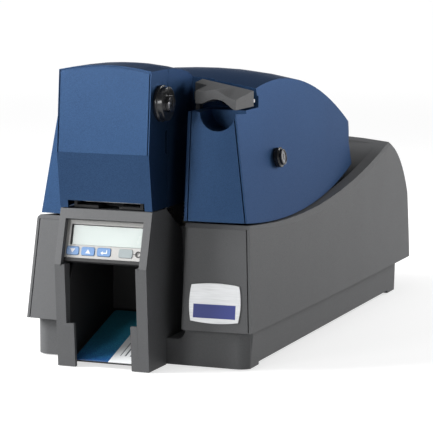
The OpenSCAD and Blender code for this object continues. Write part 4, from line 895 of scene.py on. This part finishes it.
@dataclass
class Display(SubAssembly):
    """Display panel, its screen and its keys."""

    arrow_wide: float = 4.4
    arrow_tall: float = 3.4
    stem: float = 0.9
    enter_half: float = 2.9
    enter_low: float = -0.7
    enter_top: float = 1.9
    ink_mm: float = 0.05
    ring_at: tuple[float, float] = (10.9, -0.2)
    ring_radii: tuple[float, float] = (1.85, 2.55)
    panel_drop: float = -0.5
    ring_low: float = 0.3
    ring_high: float = 0.46
    line_start: float = 6.3
    line_end: float = 8.6
    line_half: float = 0.2
    line_thick: float = 0.06
    screen_half: tuple[float, float] = (30.8, 8.2)
    # Widths and height of the dark strips that paint the window frame's shade onto the screen.
    painted_shade_left: float = 1.5
    painted_shade_top: float = 0.5
    painted_shade_thick: float = 0.3

    def parts(self) -> list[Part]:
        """Lists the nodes of the display unit."""
        return [
            Part("display_housing", DARK, Slot.BLACK, 0.3),
            Part("display_panel", SILVER, Slot.PANEL, 0.3),
            Part("lcd_screen", Screen("reflective_screen"), Slot.SCREEN, 0.2),
            Part("display_board", BOARD, Slot.BOARD),
            Part("key_down", BLUE_KEY, Slot.BLUE_KEY, 0.5),
            Part("key_up", BLUE_KEY, Slot.BLUE_KEY, 0.5),
            Part("key_enter", BLUE_KEY, Slot.BLUE_KEY, 0.5),
            Part("key_cancel", GREY_KEY, Slot.GREY_KEY, 0.5),
        ]

    def signs(self) -> dict[str, np.ndarray]:
        """Draws the plain arrow signs of the keys as outlines in millimetres."""
        wide, tall = self.arrow_wide / 2, self.arrow_tall / 2
        down = np.array([(-wide, tall), (0.0, -tall), (wide, tall)])
        up = np.array([(-wide, -tall), (wide, -tall), (0.0, tall)])
        stem, head = self.stem / 2, self.arrow_tall * 0.62
        side, low, top = self.enter_half, self.enter_low, self.enter_top
        neck, barb = -side + head, head * 0.72
        enter = np.array([(-side, low), (neck, low - barb), (neck, low - stem),
                          (side, low - stem), (side, top), (side - 2 * stem, top),
                          (side - 2 * stem, low + stem), (neck, low + stem),
                          (neck, low + barb)])
        return {"key_down": down, "key_up": up, "key_enter": enter}

    def fittings(self) -> None:
        """Adds the signs on the keys, the lamp's ring and line, and dark strips of painted shade
        along the screen's left and top edges.
        """
        ink = self.wardrobe.of(WHITE_INK)
        for node, outline in self.signs().items():
            plane = FacePlane.front_of(self.frame["nodes"][node].data)
            piece = raised_sign(node + "_sign", [outline], plane, self.ink_mm)
            dress(piece, ink, self.body_of(node))
        body = self.body_of("display_panel")
        key = FacePlane.front_of(self.frame["nodes"]["key_cancel"].data)
        dark = self.wardrobe.of(DARK)
        ring = raised_ring("lamp_ring", self.ring_at, self.ring_radii, key,
                           self.panel_drop + self.ring_low, self.panel_drop + self.ring_high)
        dress(ring, dark, body)
        base = key.middle + key.out * (self.panel_drop + self.ring_low) * MM
        bar = box_mm(self.line_start, self.ring_at[1] - self.line_half,
                     self.line_end, self.ring_at[1] + self.line_half)
        line = raised_sign("lamp_line", [bar], FacePlane(base, key.right, key.up, key.out),
                           self.line_thick)
        dress(line, dark, body)
        # Dark strips along the screen's left and top edges: painted shade of the window's frame,
        # not a real part.
        screen = FacePlane.front_of(self.frame["nodes"]["lcd_screen"].data)
        half_w, half_h = self.screen_half
        shade_strips = [box_mm(-half_w, -half_h, -half_w + self.painted_shade_left, half_h),
                  box_mm(-half_w + self.painted_shade_left, half_h - self.painted_shade_top, half_w, half_h)]
        painted_shade = raised_sign("screen_painted_shade", shade_strips, screen, self.painted_shade_thick)
        dress(painted_shade, dark, body)


class Hopper(SubAssembly):
    """Blue tower with its door, lock and card chute."""

    def parts(self) -> list[Part]:
        """Lists the nodes of the tower."""
        return [
            Part("hopper_shell", PAINT, Slot.BLUE, 0.8),
            Part("hopper_door", PAINT, Slot.BLUE, 0.8, 7.0),
            Part("hopper_liner", DARK, Slot.BLACK, 0.3),
            Part("card_weight", ZINC, Slot.ZINC, 0.4),
            Part("hopper_hinge_pin", STEEL, Slot.STEEL),
            Part("hopper_lock_body", GLOSS_BLACK, Slot.BLACK, 0.5),
            Part("hopper_lock_plug", DARK_CHROME, Slot.CHROME, 0.3),
        ]


class Cover(SubAssembly):
    """Main cover with its front panel, lock, lever and hinge."""

    def parts(self) -> list[Part]:
        """Lists the nodes of the cover."""
        return [
            Part("cover_shell", PAINT, Slot.BLUE, 0.8),
            Part("cover_front_panel", PAINT, Slot.BLUE, 0.6),
            Part("cover_lock_body", GLOSS_BLACK, Slot.BLACK, 0.4),
            Part("cover_lock_plug", DARK_CHROME, Slot.CHROME, 0.2),
            Part("latch_lever", GREY, Slot.GREY, 0.6, 24.0),
            Part("latch_pin", STEEL, Slot.STEEL),
            Part("latch_keeper", STEEL, Slot.STEEL),
            Part("cover_hinge_arms", ZINC, Slot.ZINC, 0.3),
            Part("cover_hinge_pins", STEEL, Slot.STEEL),
            Part("hinge_brackets", ZINC, Slot.ZINC, 0.3),
        ]


class Engine(SubAssembly):
    """Card transport, gear train, ribbon spools and print head."""

    def parts(self) -> list[Part]:
        """Lists the nodes of the print engine."""
        rollers = ["platen_roller", "pick_roller", "front_transport_roller",
                   "rear_transport_roller", "pinch_roller"]
        gears = ["hopper_idler_gear", "front_idler_gear", "rear_idler_gear"]
        spools = ["ribbon_supply_spool", "ribbon_takeup_spool"]
        sheets = ["side_frame_left", "side_frame_right", "motor_bracket",
                  "print_head_bracket"]
        return (
            [Part(node, RUBBER, Slot.RUBBER) for node in rollers]
            + [Part(node, IVORY, Slot.GEAR) for node in gears]
            + [Part(node, FILM, Slot.RIBBON) for node in spools]
            + [Part(node, ZINC, Slot.ZINC, 0.2) for node in sheets]
            + [Part("cleaning_roller", CLEANER, Slot.CLEANER),
               Part("idler_studs", STEEL, Slot.STEEL),
               Part("card_track", DARK, Slot.BLACK, 0.2),
               Part("drive_motor", BLACK, Slot.BLACK, 0.5),
               Part("motor_pinion", BRASS, Slot.BRASS),
               Part("print_head", STEEL, Slot.STEEL, 0.3),
               Part("magnetic_head", STEEL, Slot.STEEL, 0.3)])


class Electronics(SubAssembly):
    """Board, supply and sockets."""

    def parts(self) -> list[Part]:
        """Lists the electrical nodes."""
        return [
            Part("main_board", BOARD, Slot.BOARD),
            Part("power_supply", ZINC, Slot.ZINC, 0.4),
            Part("power_inlet", BLACK, Slot.BLACK, 0.3),
            Part("power_switch", BLACK, Slot.BLACK, 0.3),
            Part("interface_ports", STEEL, Slot.STEEL, 0.2),
        ]


# ---------------------------------------------------------------- studio
@dataclass
class Studio:
    """Camera, lamps, floor and world."""

    azimuth: float = 21.70
    elevation: float = 7.91
    distance: float = 1.6996
    aim: tuple[float, float, float] = (0.06883, Y_SHIFT * MM, 0.12497)
    focal_px: float = 2161.6
    frame_px: float = 433.0
    sensor_mm: float = 36.0
    reach: float = 14.0
    flat: float = 9.0
    rise: float = 1.6
    albedo: float = 0.5
    bounce: float = 0.35
    glow: float = 0.66
    near: float = 0.7
    fade: float = 2.6
    room: float = 0.2
    lamps: tuple = (
        ("key_lamp", -60.0, 26.0, 2.4, 1.0, 96.0),
        ("front_lamp", -24.0, 14.0, 2.6, 0.6, 14.0),
        ("top_lamp", -25.0, 72.0, 2.2, 1.3, 9.0),
        ("right_lamp", 66.0, 10.0, 2.4, 1.4, 6.0),
        ("rear_lamp", 142.0, 20.0, 1.3, 0.4, 7.5),
    )

    def camera(self) -> None:
        """Sets the camera at the photograph's angle, without roll or shift."""
        data = bpy.data.cameras.new("camera")
        data.sensor_width = self.sensor_mm
        data.lens = self.focal_px / self.frame_px * self.sensor_mm
        data.clip_end = 30.0
        camera = bpy.data.objects.new("camera", data)
        a, e = math.radians(self.azimuth), math.radians(self.elevation)
        back = np.array([math.sin(a) * math.cos(e), -math.cos(a) * math.cos(e), math.sin(e)])
        camera.location = np.array(self.aim) + back * self.distance
        camera.rotation_euler = (math.radians(90) - e, 0.0, a)
        bpy.context.scene.collection.objects.link(camera)
        bpy.context.scene.camera = camera

    def lamp(self, name: str, place: Sequence[float], target: Sequence[float],
             size: float, watts: float) -> None:
        """Adds a square soft lamp.

        Args:
            name: the lamp's name.
            place: its position in metres.
            target: point that it faces.
            size: its side in metres.
            watts: its power.
        """
        data = bpy.data.lights.new(name, "AREA")
        data.size = size
        data.energy = watts
        lamp = bpy.data.objects.new(name, data)
        way = np.array(target, float) - np.array(place, float)
        yaw = math.atan2(way[1], way[0]) - math.pi / 2
        pitch = math.atan2(-way[2], math.hypot(way[0], way[1]))
        lamp.location = place
        lamp.rotation_euler = (math.pi / 2 - pitch, 0.0, yaw)
        bpy.context.scene.collection.objects.link(lamp)

    def floor(self) -> None:
        """Lays a round white floor that keeps the shadow and rises gently at its far rim.

        The height at radius r is rise * ((r - flat) / (reach - flat)) squared outside the flat
        middle, and 0 inside it.
        """
        rings, spokes = 40, 96
        radius = self.reach * (np.arange(1, rings + 1) / rings) ** 1.6
        turn = np.linspace(0.0, 2 * math.pi, spokes, endpoint=False)
        r, t = np.meshgrid(radius, turn, indexing="ij")
        height = self.rise * np.clip((r - self.flat) / (self.reach - self.flat), 0.0, 1.0) ** 2
        grid = np.stack([r * np.cos(t), r * np.sin(t), height], -1).reshape(-1, 3)
        verts = np.vstack([grid, np.zeros((1, 3))])
        mesh = bpy.data.meshes.new("floor")
        mesh.from_pydata(verts.tolist(), [], disc_faces(rings, spokes))
        shade(mesh, 60.0)
        floor = bpy.data.objects.new("floor", mesh)
        bpy.context.scene.collection.objects.link(floor)
        material, graph, shader = fresh_material("white_floor")
        shader.inputs["Roughness"].default_value = 0.9
        shader.inputs["Specular IOR Level"].default_value = 0.05
        shader.inputs["Emission Color"].default_value = (1.0, 1.0, 1.0, 1.0)
        path = graph.add("LightPath")
        seen = graph.math("MAXIMUM", path.outputs["Is Camera Ray"],
                          graph.math("MAXIMUM", path.outputs["Is Glossy Ray"],
                                     path.outputs["Is Transmission Ray"]))
        away = graph.add("VectorMath", operation="LENGTH")
        graph.wire(graph.add("TexCoord").outputs["Object"], away.inputs[0])
        far = graph.ramp(away.outputs["Value"], self.near, self.fade)
        lit = graph.mix(seen, (self.bounce,) * 3, (self.albedo,) * 3)
        graph.wire(graph.mix(far, lit, (0.0, 0.0, 0.0)), shader.inputs["Base Color"])
        glow = graph.ramp(far, 0.0, 1.0, self.glow, 1.0)
        graph.wire(graph.math("MULTIPLY", seen, glow), shader.inputs["Emission Strength"])
        mesh.materials.append(material)

    def world(self) -> None:
        """Fills the room above the floor with a plain dim grey."""
        world = bpy.data.worlds.new("studio")
        world.use_nodes = True
        ground = world.node_tree.nodes["Background"]
        ground.inputs[0].default_value = (1.0, 1.0, 1.0, 1.0)
        ground.inputs[1].default_value = self.room
        bpy.context.scene.world = world

    def softbox(self, name: str, azimuth: float, elevation: float, distance: float,
                size: float, watts: float) -> None:
        """Hangs a soft lamp that faces the printer.

        Args:
            name: the lamp's name.
            azimuth: degrees from straight in front, to the right.
            elevation: degrees above the floor.
            distance: metres from the aim.
            size: its side in metres.
            watts: its power.
        """
        a, e = math.radians(azimuth), math.radians(elevation)
        way = np.array([math.sin(a) * math.cos(e), -math.cos(a) * math.cos(e), math.sin(e)])
        target = np.array([0.0, 0.0, 0.12])
        self.lamp(name, target + way * distance, target, size, watts)

    def build(self) -> None:
        """Sets up the whole studio."""
        self.camera()
        self.floor()
        self.world()
        for lamp in self.lamps:
            self.softbox(*lamp)
        bpy.context.scene.view_settings.view_transform = "Standard"


def main() -> None:
    """Builds the printer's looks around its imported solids."""
    logging.basicConfig(level=logging.INFO, format="%(message)s")
    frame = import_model()
    wardrobe = Wardrobe()
    Studio().build()
    for group in (Housing, Bin, Display, Hopper, Cover, Engine, Electronics):
        group(wardrobe, frame).build()


if __name__ == "__main__":
    main()
